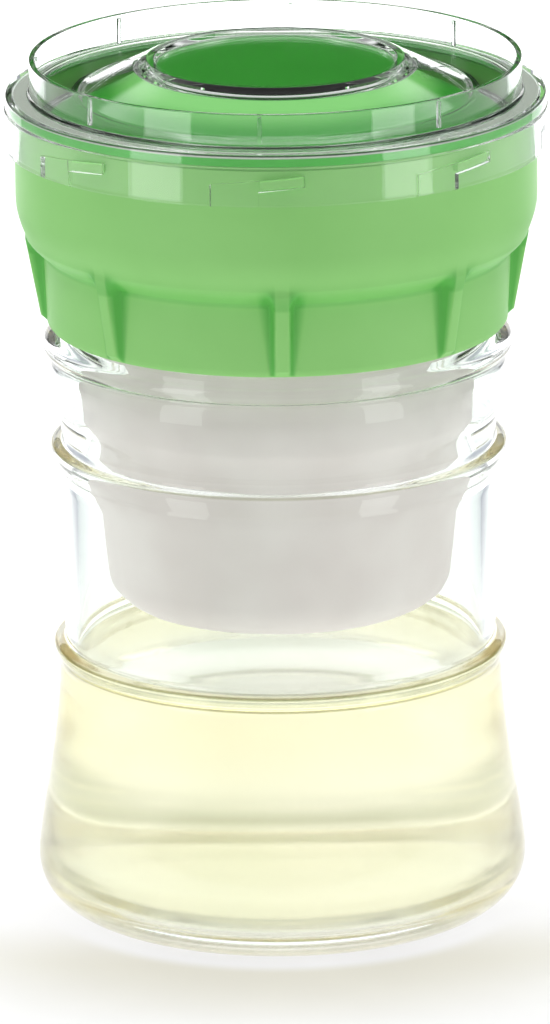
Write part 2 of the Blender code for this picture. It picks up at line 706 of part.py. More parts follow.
def make_strainer_bag():
    """Mesh bag whose turned-out hem lies on the hoop, under the clamp ring."""
    hem_radius = HOOP_FLANGE_RADIUS - TOUCH_GAP
    inside = list(reversed(bag_wall(outer=False)))
    outline = inside + [
        (BAG_NECK_RADIUS - BAG_CLOTH, BAG_TOP_Z),
        (hem_radius, BAG_TOP_Z),
        (hem_radius, BAG_TOP_Z - BAG_CLOTH),
        (BAG_NECK_RADIUS, BAG_TOP_Z - BAG_CLOTH),
    ]
    outline += bag_wall(outer=True)
    return turned("strainer_bag", outline, MESH_CLOTH, INNER_TURN_STEPS)


def make_bag_clamp_ring():
    """Snap ring that holds the bag's hem down on the hoop."""
    edge = CLAMP_LIP * 0.3
    lip_z = HOOP_Z + TOUCH_GAP
    outline = [
        (HOOP_INNER_RADIUS + edge, CLAMP_TOP_Z),
        (CLAMP_RADIUS - edge, CLAMP_TOP_Z),
        (CLAMP_RADIUS, CLAMP_TOP_Z - edge),
        (CLAMP_RADIUS, lip_z),
        (CLAMP_LIP_RADIUS, lip_z),
        (CLAMP_LIP_RADIUS, CLAMP_Z),
        (HOOP_INNER_RADIUS, CLAMP_Z),
        (HOOP_INNER_RADIUS, CLAMP_TOP_Z - edge),
    ]
    return turned("bag_clamp_ring", outline, NATURAL_PLASTIC, INNER_TURN_STEPS)


def add_hole_ring(bm, count, ring_radius, low, high):
    """A circle of drain holes for the press plate, as solid pins to cut with."""
    for index in range(count):
        angle = math.tau * (index + 0.5) / count
        place = Matrix.Translation((
            ring_radius * math.cos(angle), ring_radius * math.sin(angle), (low + high) / 2
        ))
        bmesh.ops.create_cone(
            bm, cap_ends=True, segments=6, radius1=PLATE_HOLE_RADIUS,
            radius2=PLATE_HOLE_RADIUS, depth=high - low, matrix=place,
        )


def make_press_plate():
    """Drilled plate with a stiff rim, a hub for the stem and a rib that centres the springs."""
    hub_radius = GUIDE_RADIUS
    rim_inner = PLATE_RADIUS - PLATE_RIM_WIDTH
    rib_top = PLATE_TOP_Z + SPRING_RIB_HEIGHT
    hub_top = PLATE_TOP_Z + PLATE_HUB_HEIGHT
    socket_z = PLATE_Z + PLATE_THICKNESS * 0.8
    outline = [
        (0, socket_z),
        (HUB_BORE_RADIUS, socket_z),
        (HUB_BORE_RADIUS, hub_top),
        (hub_radius, hub_top),
        (hub_radius, PLATE_TOP_Z),
        (SPRING_RIB_INNER_RADIUS, PLATE_TOP_Z),
        (SPRING_RIB_INNER_RADIUS, rib_top),
        (SPRING_RIB_OUTER_RADIUS, rib_top),
        (SPRING_RIB_OUTER_RADIUS, PLATE_TOP_Z),
        (rim_inner, PLATE_TOP_Z),
        (rim_inner, PLATE_TOP_Z + PLATE_RIM_HEIGHT),
        (PLATE_RADIUS, PLATE_TOP_Z + PLATE_RIM_HEIGHT),
        (PLATE_RADIUS, PLATE_Z + PLATE_THICKNESS * 0.3),
        (PLATE_RADIUS - PLATE_THICKNESS * 0.3, PLATE_Z),
        (0, PLATE_Z),
    ]
    plate = turned("press_plate", outline, NATURAL_PLASTIC, INNER_TURN_STEPS)
    firm_edge = FIRM_SPRING_RADIUS + FIRM_WIRE / 2
    spread = rim_inner - firm_edge
    low = PLATE_Z - PLATE_THICKNESS * 0.4
    high = PLATE_TOP_Z + PLATE_THICKNESS * 0.4
    holes = bmesh.new()
    add_hole_ring(holes, PLATE_HOLES_INNER, firm_edge + spread * 0.26, low, high)
    add_hole_ring(holes, PLATE_HOLES_OUTER, firm_edge + spread * 0.72, low, high)
    shape_with(plate, add_tool("plate_holes", mesh_from(holes, "plate_holes")), "DIFFERENCE")
    return plate


def make_press_stem():
    """Rod from the plate's hub up to the stop inside the cap's guide tube."""
    socket_floor = PLATE_Z + PLATE_THICKNESS * 0.8 + TOUCH_GAP
    hole = SCREW_SHANK_RADIUS + TOUCH_GAP
    hole_floor = LEDGE_TOP_Z - SCREW_SHANK_LENGTH
    edge = STEM_RADIUS * 0.12
    outline = [
        (0, hole_floor),
        (hole, hole_floor),
        (hole, LEDGE_TOP_Z),
        (STEM_RADIUS - edge, LEDGE_TOP_Z),
        (STEM_RADIUS, LEDGE_TOP_Z - edge),
        (STEM_RADIUS, socket_floor + edge),
        (STEM_RADIUS - edge, socket_floor),
        (0, socket_floor),
    ]
    return turned("press_stem", outline, NATURAL_PLASTIC, SMALL_TURN_STEPS)


def make_stop():
    """Washer and screw on the stem's end: they catch on the ledge of the guide tube."""
    washer_z = LEDGE_TOP_Z + TOUCH_GAP
    hole = SCREW_SHANK_RADIUS + TOUCH_GAP
    washer_top = washer_z + WASHER_THICKNESS
    washer = turned(
        "stop_washer",
        [(hole, washer_top), (WASHER_RADIUS, washer_top), (WASHER_RADIUS, washer_z), (hole, washer_z)],
        STEEL,
        SMALL_TURN_STEPS,
    )
    head_z = washer_top + TOUCH_GAP
    head_top = head_z + SCREW_HEAD_HEIGHT
    shank_z = LEDGE_TOP_Z - SCREW_SHANK_LENGTH + TOUCH_GAP
    crown = SCREW_HEAD_RADIUS * 0.6
    screw = turned(
        "stop_screw",
        [
            (0, head_top),
            (crown, head_top),
            (SCREW_HEAD_RADIUS, head_z + SCREW_HEAD_HEIGHT * 0.5),
            (SCREW_HEAD_RADIUS, head_z),
            (SCREW_SHANK_RADIUS, head_z),
            (SCREW_SHANK_RADIUS, shank_z),
            (0, shank_z),
        ],
        STEEL,
        SMALL_TURN_STEPS,
    )
    return washer, screw


def spring_points(radius, wire, low, high, turns, hand):
    """Centre line of a compression spring with one nearly closed turn at each end."""
    closed_rise = wire + CLOSED_TURN_GAP
    pitch = (high - low - 2 * closed_rise) / (turns - 2)
    points = []
    for index in range(turns * SPRING_POINTS + 1):
        turn = index / SPRING_POINTS
        if turn <= 1:
            height = low + closed_rise * turn
        elif turn >= turns - 1:
            height = high - closed_rise * (turns - turn)
        else:
            height = low + closed_rise + pitch * (turn - 1)
        angle = hand * math.tau * turn
        points.append(Vector((radius * math.cos(angle), radius * math.sin(angle), height)))
    lead_in = Vector((0, -hand * wire, 0))
    points.insert(0, points[0] + lead_in)
    points.append(points[-1] - lead_in)
    return points


def least_gap(points, wire):
    """Smallest gap between neighbouring turns of a spring."""
    away = SPRING_POINTS // 2
    nearest = min(
        (first - second).length
        for index, first in enumerate(points)
        for second in points[index + away:]
    )
    return nearest - wire


def make_spring(name, radius, wire, turns, hand):
    """Compression spring between the press plate and the cap, wound as one wire."""
    low = PLATE_TOP_Z + TOUCH_GAP + wire / 2
    high = CAP_UNDER_Z - TOUCH_GAP - wire / 2
    points = spring_points(radius, wire, low, high, turns, hand)
    curve = bpy.data.curves.new(name, "CURVE")
    curve.dimensions = "3D"
    curve.bevel_depth = wire / 2
    curve.bevel_resolution = 1
    curve.use_fill_caps = True
    spline = curve.splines.new("POLY")
    spline.points.add(len(points) - 1)
    for spline_point, point in zip(spline.points, points):
        spline_point.co = (*point, 1)
    print(f"{name}: least gap between turns {least_gap(points, wire) * 1000:.2f} mm")
    return add_object(name, curve, PARTS, STEEL)


def make_press_cap():
    """Green conical cap with a lip round the disc: its tube guides the stem, and its rim
    rests on the collar's ledge.
    """
    rim_top = CAP_Z + CAP_RIM_THICKNESS
    cone_foot = CAP_RADIUS - CAP_RIM_WIDTH
    lip_inner = DISC_RADIUS + TOUCH_GAP
    lip_outer = lip_inner + CAP_LIP_WIDTH
    lip_top = CAP_TOP_Z + CAP_LIP_HEIGHT
    rib_low = CAP_UNDER_Z - SPRING_RIB_HEIGHT
    outline = [
        (GUIDE_RADIUS, CAP_TOP_Z),
        (lip_inner, CAP_TOP_Z),
        (lip_inner, lip_top),
        (lip_outer, lip_top),
        (cone_foot, rim_top),
        (CAP_RADIUS, rim_top),
        (CAP_RADIUS, CAP_Z),
        (cone_foot - CAP_SKIN * 0.6, CAP_Z),
        (lip_outer + CAP_SKIN * 1.3, CAP_UNDER_Z),
        (SPRING_RIB_OUTER_RADIUS, CAP_UNDER_Z),
        (SPRING_RIB_OUTER_RADIUS, rib_low),
        (SPRING_RIB_INNER_RADIUS, rib_low),
        (SPRING_RIB_INNER_RADIUS, CAP_UNDER_Z),
        (GUIDE_OUTER_RADIUS, CAP_UNDER_Z),
        (GUIDE_OUTER_RADIUS, GUIDE_BOTTOM_Z),
        (STEM_RADIUS + GUIDE_CLEARANCE, GUIDE_BOTTOM_Z),
        (STEM_RADIUS + GUIDE_CLEARANCE, LEDGE_TOP_Z),
        (GUIDE_RADIUS, LEDGE_TOP_Z),
    ]
    return turned("press_cap", outline, DEEP_GREEN, INNER_TURN_STEPS)


def make_top_disc():
    """Plain disc that plugs the guide tube and shows through the cover's hub."""
    spigot = GUIDE_RADIUS - TOUCH_GAP
    outline = [
        (0, DISC_TOP_Z),
        (DISC_RADIUS - DISC_EDGE_ROUND, DISC_TOP_Z),
        (DISC_RADIUS, DISC_TOP_Z - DISC_EDGE_ROUND),
        (DISC_RADIUS, DISC_Z),
        (spigot, DISC_Z),
        (spigot, SPIGOT_Z),
        (0, SPIGOT_Z),
    ]
    return turned("top_disc", outline, DEEP_GREEN, INNER_TURN_STEPS)


def make_cover_seal():
    """Green silicone ring between the collar's rim and the cover's flange."""
    middle = BOWL_RADIUS - BOWL_WALL / 2
    return flat_ring(
        "cover_seal", middle - SEAL_WIDTH / 2, middle + SEAL_WIDTH / 2, SEAL_Z,
        SEAL_Z + SEAL_THICKNESS, GREEN_SILICONE, SEAL_THICKNESS * 0.25,
    )


def cover_outline():
    """Section of the clear cover: top side outwards, down the skirt, and back underneath."""
    ring_inner = STACK_RING_RADIUS - STACK_RING_WALL
    skirt_z = COLLAR_TOP_Z - SKIRT_DROP
    under_top = HUB_RADIUS + (CROWN_UNDER_Z - HUB_UNDER_Z) / CROWN_SLOPE
    under_foot = HUB_RADIUS + (CROWN_UNDER_Z - FLANGE_UNDER_Z) / CROWN_SLOPE
    step_z = FLANGE_TOP_Z - FLANGE_EDGE_HEIGHT
    edge = COVER_SKIN * 0.3
    return [
        (0, HUB_FLOOR_Z),
        (HUB_FLOOR_RADIUS - edge, HUB_FLOOR_Z),
        (HUB_FLOOR_RADIUS, HUB_FLOOR_Z + HUB_RING_HEIGHT),
        (HUB_FLOOR_RADIUS + HUB_RING_WIDTH * 0.55, HUB_FLOOR_Z + HUB_RING_HEIGHT),
        (HUB_RADIUS, CROWN_Z),
        (CROWN_FOOT_RADIUS - CROWN_FOOT_ROUND, FLOOR_Z + CROWN_SLOPE * CROWN_FOOT_ROUND),
        (CROWN_FOOT_RADIUS + CROWN_FOOT_ROUND, FLOOR_Z),
        (ring_inner - edge, FLOOR_Z),
        (ring_inner, FLOOR_Z + edge),
        (ring_inner, STACK_RING_TOP_Z - edge / 2),
        (ring_inner + edge / 2, STACK_RING_TOP_Z),
        (STACK_RING_RADIUS - edge / 2, STACK_RING_TOP_Z),
        (STACK_RING_RADIUS, STACK_RING_TOP_Z - edge / 2),
        (STACK_RING_RADIUS, FLANGE_TOP_Z + edge * 3),
        (STACK_RING_RADIUS + edge * 2, FLANGE_TOP_Z + edge),
        (FLANGE_RADIUS - edge, FLANGE_TOP_Z),
        (FLANGE_RADIUS, FLANGE_TOP_Z - edge),
        (FLANGE_RADIUS, step_z),
        (SKIRT_RADIUS - edge * 0.5, step_z - edge),
        (SKIRT_RADIUS, skirt_z + edge),
        (SKIRT_RADIUS - edge, skirt_z),
        (SKIRT_INNER_RADIUS, skirt_z),
        (SKIRT_INNER_RADIUS, FLANGE_UNDER_Z - COVER_SKIN),
        (BOWL_RADIUS, FLANGE_UNDER_Z),
        (BOWL_INNER_RADIUS, FLANGE_UNDER_Z),
        (under_foot, FLANGE_UNDER_Z),
        (under_top, HUB_UNDER_Z),
        (0, HUB_UNDER_Z),
    ]


def make_clear_cover():
    """Clear cover with a stacking ring, a raised hub and bayonet slots inside its skirt."""
    cover = turned("clear_cover", cover_outline(), CLEAR_PLASTIC)
    skirt_z = COLLAR_TOP_Z - SKIRT_DROP
    inner = SKIRT_INNER_RADIUS - SKIRT_CLEARANCE * 0.5
    outer = SKIRT_INNER_RADIUS + SLOT_DEPTH
    half = LUG_HEIGHT / 2 + BAYONET_PLAY
    leg_span = LUG_SPAN + 2 * BAYONET_PLAY / SKIRT_INNER_RADIUS
    overlap = math.radians(0.5)
    slots = bmesh.new()
    entries = bmesh.new()
    for index in range(LUG_COUNT):
        middle = FRONT + index * LUG_STEP
        leg_start = middle - leg_span / 2 - overlap
        leg_z = LUG_Z + BAYONET_CLIMB * (leg_start - middle)
        leg = ring_section(inner, outer, leg_z - half, leg_z + half)
        add_arc_ridge(slots, leg, leg_start, leg_span + overlap, 2, BAYONET_CLIMB)
        entry_start = middle - BAYONET_TWIST - leg_span / 2 - overlap / 2
        entry_z = LUG_Z + BAYONET_CLIMB * (entry_start - middle) + half
        entry = ring_section(inner, outer, skirt_z - LUG_HEIGHT, entry_z)
        add_arc_ridge(entries, entry, entry_start, leg_span + overlap, 2, BAYONET_CLIMB)
    shape_with(cover, add_tool("slot_legs", mesh_from(slots, "slot_legs")), "DIFFERENCE")
    shape_with(cover, add_tool("slot_entries", mesh_from(entries, "slot_entries")), "DIFFERENCE")

    ticks = bmesh.new()
    ring_inner = STACK_RING_RADIUS - STACK_RING_WALL
    low = FLANGE_TOP_Z + COVER_SKIN
    high = STACK_RING_TOP_Z - COVER_SKIN * 0.5
    root = ring_inner + STACK_RING_WALL * 0.5
    crest = ring_inner - TICK_PROUD
    section = ring_section(root, crest, low, high)
    for index in range(LUG_COUNT):
        corner = FRONT + index * LUG_STEP - leg_span / 2
        add_arc_ridge(ticks, section, corner - TICK_HALF_ANGLE, 2 * TICK_HALF_ANGLE, 1)
    shape_with(cover, add_tool("ring_ticks", mesh_from(ticks, "ring_ticks")), "UNION")
    return cover


def add_axis(name, parent):
    """Empty on the common axis that carries what moves together."""
    axis = add_object(name, None, PARTS)
    axis.empty_display_size = BOWL_RADIUS
    axis.parent = parent
    return axis


def carry(axis, *pieces):
    for piece in pieces:
        piece.parent = axis


for existing in list(bpy.data.objects):
    bpy.data.objects.remove(existing, do_unlink=True)

PARTS = new_collection("kefir_cheese_maker")
TOOLS = new_collection("shaping_tools")

GLASS = make_material("clear_glass", from_srgb(238, 244, 240), 0.03, transmission=0.95)
CLEAR_PLASTIC = make_material("clear_plastic", from_srgb(236, 242, 238), 0.06, transmission=0.9)
LIGHT_GREEN = make_material("light_green_plastic", from_srgb(140, 199, 120), 0.38)
DEEP_GREEN = make_material("deep_green_plastic", from_srgb(58, 150, 52), 0.30)
NATURAL_PLASTIC = make_material("natural_plastic", from_srgb(236, 236, 230), 0.42)
SILICONE = make_material("silicone", from_srgb(226, 230, 226), 0.55)
GREEN_SILICONE = make_material("green_silicone", from_srgb(60, 165, 55), 0.5)
MESH_CLOTH = make_material("mesh_cloth", from_srgb(216, 210, 204), 0.85)
STEEL = make_material("spring_steel", from_srgb(190, 192, 195), 0.25, metallic=1.0)
WHEY = make_material("whey", from_srgb(247, 243, 208), 0.15)

jar = make_jar()
carry(jar, make_whey())
gasket_axis = add_axis("collar_rise_axis", jar)
carry(gasket_axis, make_jar_gasket())
collar_axis = add_axis("collar_turn_axis", gasket_axis)
carry(collar_axis, make_collar(), make_strainer_hoop(), make_strainer_bag(), make_bag_clamp_ring())
head_axis = add_axis("cover_rise_axis", collar_axis)
carry(head_axis, make_press_cap(), make_top_disc(), make_cover_seal())
carry(
    head_axis,
    make_spring("firm_spring", FIRM_SPRING_RADIUS, FIRM_WIRE, FIRM_SPRING_TURNS, 1),
    make_spring("soft_spring", SOFT_SPRING_RADIUS, SOFT_WIRE, SOFT_SPRING_TURNS, -1),
)
cover_axis = add_axis("cover_turn_axis", head_axis)
carry(cover_axis, make_clear_cover())
plunger_axis = add_axis("plunger_axis", head_axis)
carry(plunger_axis, make_press_plate(), make_press_stem(), *make_stop())
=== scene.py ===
# %% [markdown]
# # A kefir cheese maker, dressed for its photograph
#
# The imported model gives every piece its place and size. Here each piece that shows gets a finer
# surface on the same sizes: a pressed glass jar with whey in it, a green bowl with grip ribs, a
# mesh bag, a conical press cap and a clear bayonet cover. All lengths are in metres.

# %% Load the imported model
import math

import bpy
from mathutils import Matrix, Vector, noise


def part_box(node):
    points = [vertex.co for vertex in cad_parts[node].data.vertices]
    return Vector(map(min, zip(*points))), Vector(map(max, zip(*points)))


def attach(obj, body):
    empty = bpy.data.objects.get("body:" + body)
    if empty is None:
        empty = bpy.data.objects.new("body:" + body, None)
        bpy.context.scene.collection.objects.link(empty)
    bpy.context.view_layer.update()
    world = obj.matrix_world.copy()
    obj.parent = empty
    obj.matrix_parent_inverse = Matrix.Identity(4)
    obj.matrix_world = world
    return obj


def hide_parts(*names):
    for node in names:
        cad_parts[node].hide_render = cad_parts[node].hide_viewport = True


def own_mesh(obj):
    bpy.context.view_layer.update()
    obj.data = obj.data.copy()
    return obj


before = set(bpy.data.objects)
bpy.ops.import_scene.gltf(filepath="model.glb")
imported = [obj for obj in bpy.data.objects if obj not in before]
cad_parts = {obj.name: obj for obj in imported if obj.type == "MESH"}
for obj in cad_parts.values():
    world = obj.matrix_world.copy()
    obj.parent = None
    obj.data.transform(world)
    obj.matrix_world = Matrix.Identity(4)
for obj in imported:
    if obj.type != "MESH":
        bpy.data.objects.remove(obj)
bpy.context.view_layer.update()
MM = 0.001

# %% [markdown]
# Blender's shaders take linear colour, but a colour read from a photograph is an 8-bit screen
# value. A small helper turns one into the other, so that every colour below can be written the
# way an image editor shows it.

# %% Colours as an image editor shows them
def screen_colour(red, green, blue):
    linear = []
    for channel in (red, green, blue):
        value = channel / 255
        linear.append(value / 12.92 if value <= 0.04045 else ((value + 0.055) / 1.055) ** 2.4)
    return (*linear, 1.0)


# %% [markdown]
# ## The camera
#
# The ellipses of the rims tell where the camera stood: 2.2 m away, 0.72 m above the table, looking
# 16 degrees down, with a long lens and a slight roll. The frame is cut a little off the lens's
# centre, and the camera's shift holds that.

# %% Place the camera
CAMERA_DISTANCE = 2.200
CAMERA_HEIGHT = 0.7213
CAMERA_PITCH = math.radians(16.106)
CAMERA_ROLL = math.radians(0.524)
CAMERA_SIDE = math.radians(1.05)
FOCAL_PIXELS = 10617.5
PICTURE_WIDTH = 550
PICTURE_HEIGHT = 1024
LENS_CENTRE = (279.4, 512.7)
SENSOR = 36.0

bpy.ops.object.select_all(action="DESELECT")
bpy.ops.object.camera_add()
camera = bpy.context.object
camera.name = "camera"
camera.data.sensor_width = SENSOR
camera.data.lens = FOCAL_PIXELS / PICTURE_HEIGHT * SENSOR
camera.data.shift_x = (PICTURE_WIDTH / 2 - LENS_CENTRE[0]) / PICTURE_HEIGHT
camera.data.shift_y = (LENS_CENTRE[1] - PICTURE_HEIGHT / 2) / PICTURE_HEIGHT
camera.data.clip_end = 100
stand = Vector((
    -CAMERA_DISTANCE * math.sin(CAMERA_SIDE), -CAMERA_DISTANCE * math.cos(CAMERA_SIDE), CAMERA_HEIGHT
))
camera.matrix_world = (
    Matrix.Translation(stand)
    @ Matrix.Rotation(-CAMERA_SIDE, 4, "Z")
    @ Matrix.Rotation(math.pi / 2 - CAMERA_PITCH, 4, "X")
    @ Matrix.Rotation(-CAMERA_ROLL, 4, "Z")
)
bpy.context.scene.camera = camera
print("lens:", round(camera.data.lens), "mm")

# %% [markdown]
# ## Light and floor
#
# The photograph is a bright white studio picture. The surroundings are brightest behind the jar,
# and dimmer overhead and on the camera's side. A dark gap low behind the jar shows as dark bands in
# the cover, and a low white card stands in front of it. Two tall softboxes left and right in front
# of the jar draw the pale upright bands. A large lamp overhead keeps the floor white. It is left
# out of reflections and of the light that passes through clear pieces, where it would show as haze.
# The camera sees none of the lamps directly.

# %% Surroundings
SKY_BEHIND = 1.0
SKY_IN_FRONT = 0.55
SKY_HIGH = 0.4
FRONT_EDGE = (-0.1, 0.6)
HIGH_START = math.sin(math.radians(32))
HIGH_END = math.sin(math.radians(48))
GAP_STRENGTH = 0.02
GAP_LOW = math.sin(math.radians(3))
GAP_HIGH = math.sin(math.radians(27))
GAP_LOW_SOFT = 0.03
GAP_HIGH_SOFT = 0.05
GAP_SIDES = (0.15, 0.35)


def smooth_step(tree, source, low, high, at_low, at_high):
    """Map a value smoothly from one range to another."""
    step = tree.nodes.new("ShaderNodeMapRange")
    step.interpolation_type = "SMOOTHSTEP"
    step.inputs["From Min"].default_value = low
    step.inputs["From Max"].default_value = high
    step.inputs["To Min"].default_value = at_low
    step.inputs["To Max"].default_value = at_high
    tree.links.new(source, step.inputs["Value"])
    return step.outputs[0]


def product(tree, first, second):
    multiply = tree.nodes.new("ShaderNodeMath")
    multiply.operation = "MULTIPLY"
    tree.links.new(first, multiply.inputs[0])
    tree.links.new(second, multiply.inputs[1])
    return multiply.outputs[0]


world = bpy.data.worlds.new("white_studio")
bpy.context.scene.world = world
world.use_nodes = True
sky = world.node_tree
background = sky.nodes["Background"]
direction = sky.nodes.new("ShaderNodeTexCoord")
parts = sky.nodes.new("ShaderNodeSeparateXYZ")
sky.links.new(direction.outputs["Generated"], parts.inputs[0])
from_front = smooth_step(sky, parts.outputs["Y"], *FRONT_EDGE, SKY_IN_FRONT, SKY_BEHIND)
behind = smooth_step(sky, parts.outputs["Y"], *GAP_SIDES, 0, 1)
low_edge = (GAP_LOW - GAP_LOW_SOFT, GAP_LOW + GAP_LOW_SOFT)
above_low = smooth_step(sky, parts.outputs["Z"], *low_edge, 0, 1)
high_edge = (GAP_HIGH - GAP_HIGH_SOFT, GAP_HIGH + GAP_HIGH_SOFT)
below_high = smooth_step(sky, parts.outputs["Z"], *high_edge, 1, 0)
gap = product(sky, behind, product(sky, above_low, below_high))
outside_gap = smooth_step(sky, gap, 0, 1, 1, GAP_STRENGTH)
high = smooth_step(sky, parts.outputs["Z"], HIGH_START, HIGH_END, 1, SKY_HIGH)
strength = product(sky, high, product(sky, from_front, outside_gap))
sky.links.new(strength, background.inputs["Strength"])
background.inputs["Color"].default_value = (1, 1, 1, 1)

# %% Softboxes
def softbox(name, place, aim, width, height, radiance, lights_matt=True):
    """A soft area lamp that reflects, but isn't seen itself. It can leave matt surfaces unlit."""
    bpy.ops.object.light_add(type="AREA", location=place)
    lamp = bpy.context.object
    lamp.name = name
    lamp.data.shape = "RECTANGLE"
    lamp.data.size = width
    lamp.data.size_y = height
    lamp.data.energy = radiance * math.pi * width * height
    lamp.rotation_euler = (Vector(aim) - Vector(place)).to_track_quat("-Z", "Y").to_euler()
    lamp.visible_camera = False
    lamp.visible_diffuse = lights_matt
    return lamp


BOX_DISTANCE = 0.32
BOX_LOW = 0.08
BOX_HIGH = 0.50
BOX_RADIANCE = 2.2
BOX_LEVEL = (BOX_LOW + BOX_HIGH) / 2
# Name, degrees from the front, and width.
BOXES = (("softbox_left", -49.2, 0.125), ("softbox_right", 51.5, 0.117))
CARD_BEHIND = 0.45
CARD_WIDTH = 0.9
CARD_HEIGHT = 0.21
CARD_LEVEL = CARD_HEIGHT / 2
CARD_RADIANCE = 1.4
OVERHEAD_PLACE = (0, 0.5, 1.6)
OVERHEAD_AIM = (0, 0.2, 0)
OVERHEAD_SIZE = (2.4, 2.0)
OVERHEAD_RADIANCE = 3.1

for name, side, width in BOXES:
    angle = math.radians(side)
    place = (BOX_DISTANCE * math.sin(angle), -BOX_DISTANCE * math.cos(angle), BOX_LEVEL)
    softbox(name, place, (0, 0, BOX_LEVEL), width, BOX_HIGH - BOX_LOW, BOX_RADIANCE, False)
card_place = (0, CARD_BEHIND, CARD_LEVEL)
softbox("white_card", card_place, (0, 0, CARD_LEVEL), CARD_WIDTH, CARD_HEIGHT, CARD_RADIANCE, False)
overhead = softbox("overhead", OVERHEAD_PLACE, OVERHEAD_AIM, *OVERHEAD_SIZE, OVERHEAD_RADIANCE)
overhead.visible_glossy = False
overhead.visible_transmission = False

# %% [markdown]
# Finishes that several materials share are node groups: a fine grain for moulded plastic, slow
# waves for pressed glass, and a weave for the mesh. Each is built once and gives out a height or
# a mask, and the shader itself stays in each material.

# %% A node group with named sockets
def new_group(name, inputs, outputs):
    group = bpy.data.node_groups.new(name, "ShaderNodeTree")
    for socket, value in inputs:
        entry = group.interface.new_socket(socket, in_out="INPUT", socket_type="NodeSocketFloat")
        entry.default_value = value
    for socket in outputs:
        group.interface.new_socket(socket, in_out="OUTPUT", socket_type="NodeSocketFloat")
    start = group.nodes.new("NodeGroupInput")
    end = group.nodes.new("NodeGroupOutput")
    return group, start, end


# %% Grain of moulded plastic
GRAIN_SCALE = 900.0
GRAIN_DETAIL = 3
DRIFT_SCALE = 38

grain, start, end = new_group("moulded_grain", [("Scale", GRAIN_SCALE)], ["Height", "Shade"])
place = grain.nodes.new("ShaderNodeTexCoord")
fine = grain.nodes.new("ShaderNodeTexNoise")
fine.inputs["Detail"].default_value = GRAIN_DETAIL
broad = grain.nodes.new("ShaderNodeTexNoise")
broad.inputs["Scale"].default_value = DRIFT_SCALE
grain.links.new(place.outputs["Object"], fine.inputs["Vector"])
grain.links.new(place.outputs["Object"], broad.inputs["Vector"])
grain.links.new(start.outputs["Scale"], fine.inputs["Scale"])
grain.links.new(fine.outputs["Fac"], end.inputs["Height"])
grain.links.new(broad.outputs["Fac"], end.inputs["Shade"])

# %% Waves of pressed glass
WAVE_SCALE = 26.0
WAVE_STRETCH = (1, 1, 0.45)

waves, start, end = new_group("pressed_waves", [("Scale", WAVE_SCALE)], ["Height", "Shade"])
place = waves.nodes.new("ShaderNodeTexCoord")
stretch = waves.nodes.new("ShaderNodeMapping")
stretch.inputs["Scale"].default_value = WAVE_STRETCH
slow = waves.nodes.new("ShaderNodeTexNoise")
slow.inputs["Detail"].default_value = 1
waves.links.new(place.outputs["Object"], stretch.inputs["Vector"])
waves.links.new(stretch.outputs[0], slow.inputs["Vector"])
waves.links.new(start.outputs["Scale"], slow.inputs["Scale"])
waves.links.new(slow.outputs["Fac"], end.inputs["Height"])
waves.links.new(slow.outputs["Fac"], end.inputs["Shade"])

# %% Weave of the mesh
DAMP_SCALE = 45

weave, start, end = new_group("mesh_weave", [("Threads", 1.0)], ["Height", "Shade"])
place = weave.nodes.new("ShaderNodeTexCoord")
across = weave.nodes.new("ShaderNodeTexWave")
across.bands_direction = "X"
along = weave.nodes.new("ShaderNodeTexWave")
along.bands_direction = "Y"
crossing = weave.nodes.new("ShaderNodeMath")
crossing.operation = "MAXIMUM"
damp = weave.nodes.new("ShaderNodeTexNoise")
damp.inputs["Scale"].default_value = DAMP_SCALE
for threads in (across, along):
    weave.links.new(place.outputs["UV"], threads.inputs["Vector"])
    weave.links.new(start.outputs["Threads"], threads.inputs["Scale"])
weave.links.new(across.outputs["Fac"], crossing.inputs[0])
weave.links.new(along.outputs["Fac"], crossing.inputs[1])
weave.links.new(place.outputs["Object"], damp.inputs["Vector"])
weave.links.new(crossing.outputs[0], end.inputs["Height"])
weave.links.new(damp.outputs["Fac"], end.inputs["Shade"])
print("node groups:", [group.name for group in bpy.data.node_groups])

# %% [markdown]
# A material is one Principled shader. Its colour drifts a little between two near shades, and its
# surface carries the group's height through a Bump node. What is the same all over, such as how
# much light passes through, is set on the shader itself.

# %% A material from a group
RAMP_START = 0.35
RAMP_END = 0.65


def finish(name, group, light, dark, roughness, bump, settings=(), scale=None):
    """Principled material whose colour and height come from one of the groups."""
    material = bpy.data.materials.new(name)
    material.use_nodes = True
    tree = material.node_tree
    shader = tree.nodes["Principled BSDF"]
    surface = tree.nodes.new("ShaderNodeGroup")
    surface.node_tree = group
    if scale is not None:
        surface.inputs[0].default_value = scale
    colours = tree.nodes.new("ShaderNodeValToRGB")
    colours.color_ramp.elements[0].color = dark
    colours.color_ramp.elements[0].position = RAMP_START
    colours.color_ramp.elements[1].color = light
    colours.color_ramp.elements[1].position = RAMP_END
    relief = tree.nodes.new("ShaderNodeBump")
    relief.inputs["Strength"].default_value = 1.0
    relief.inputs["Distance"].default_value = bump
    tree.links.new(surface.outputs["Shade"], colours.inputs["Fac"])
    tree.links.new(colours.outputs["Color"], shader.inputs["Base Color"])
    tree.links.new(surface.outputs["Height"], relief.inputs["Height"])
    tree.links.new(relief.outputs["Normal"], shader.inputs["Normal"])
    shader.inputs["Roughness"].default_value = roughness
    for socket, value in settings:
        shader.inputs[socket].default_value = value
    material.diffuse_color = light
    return material


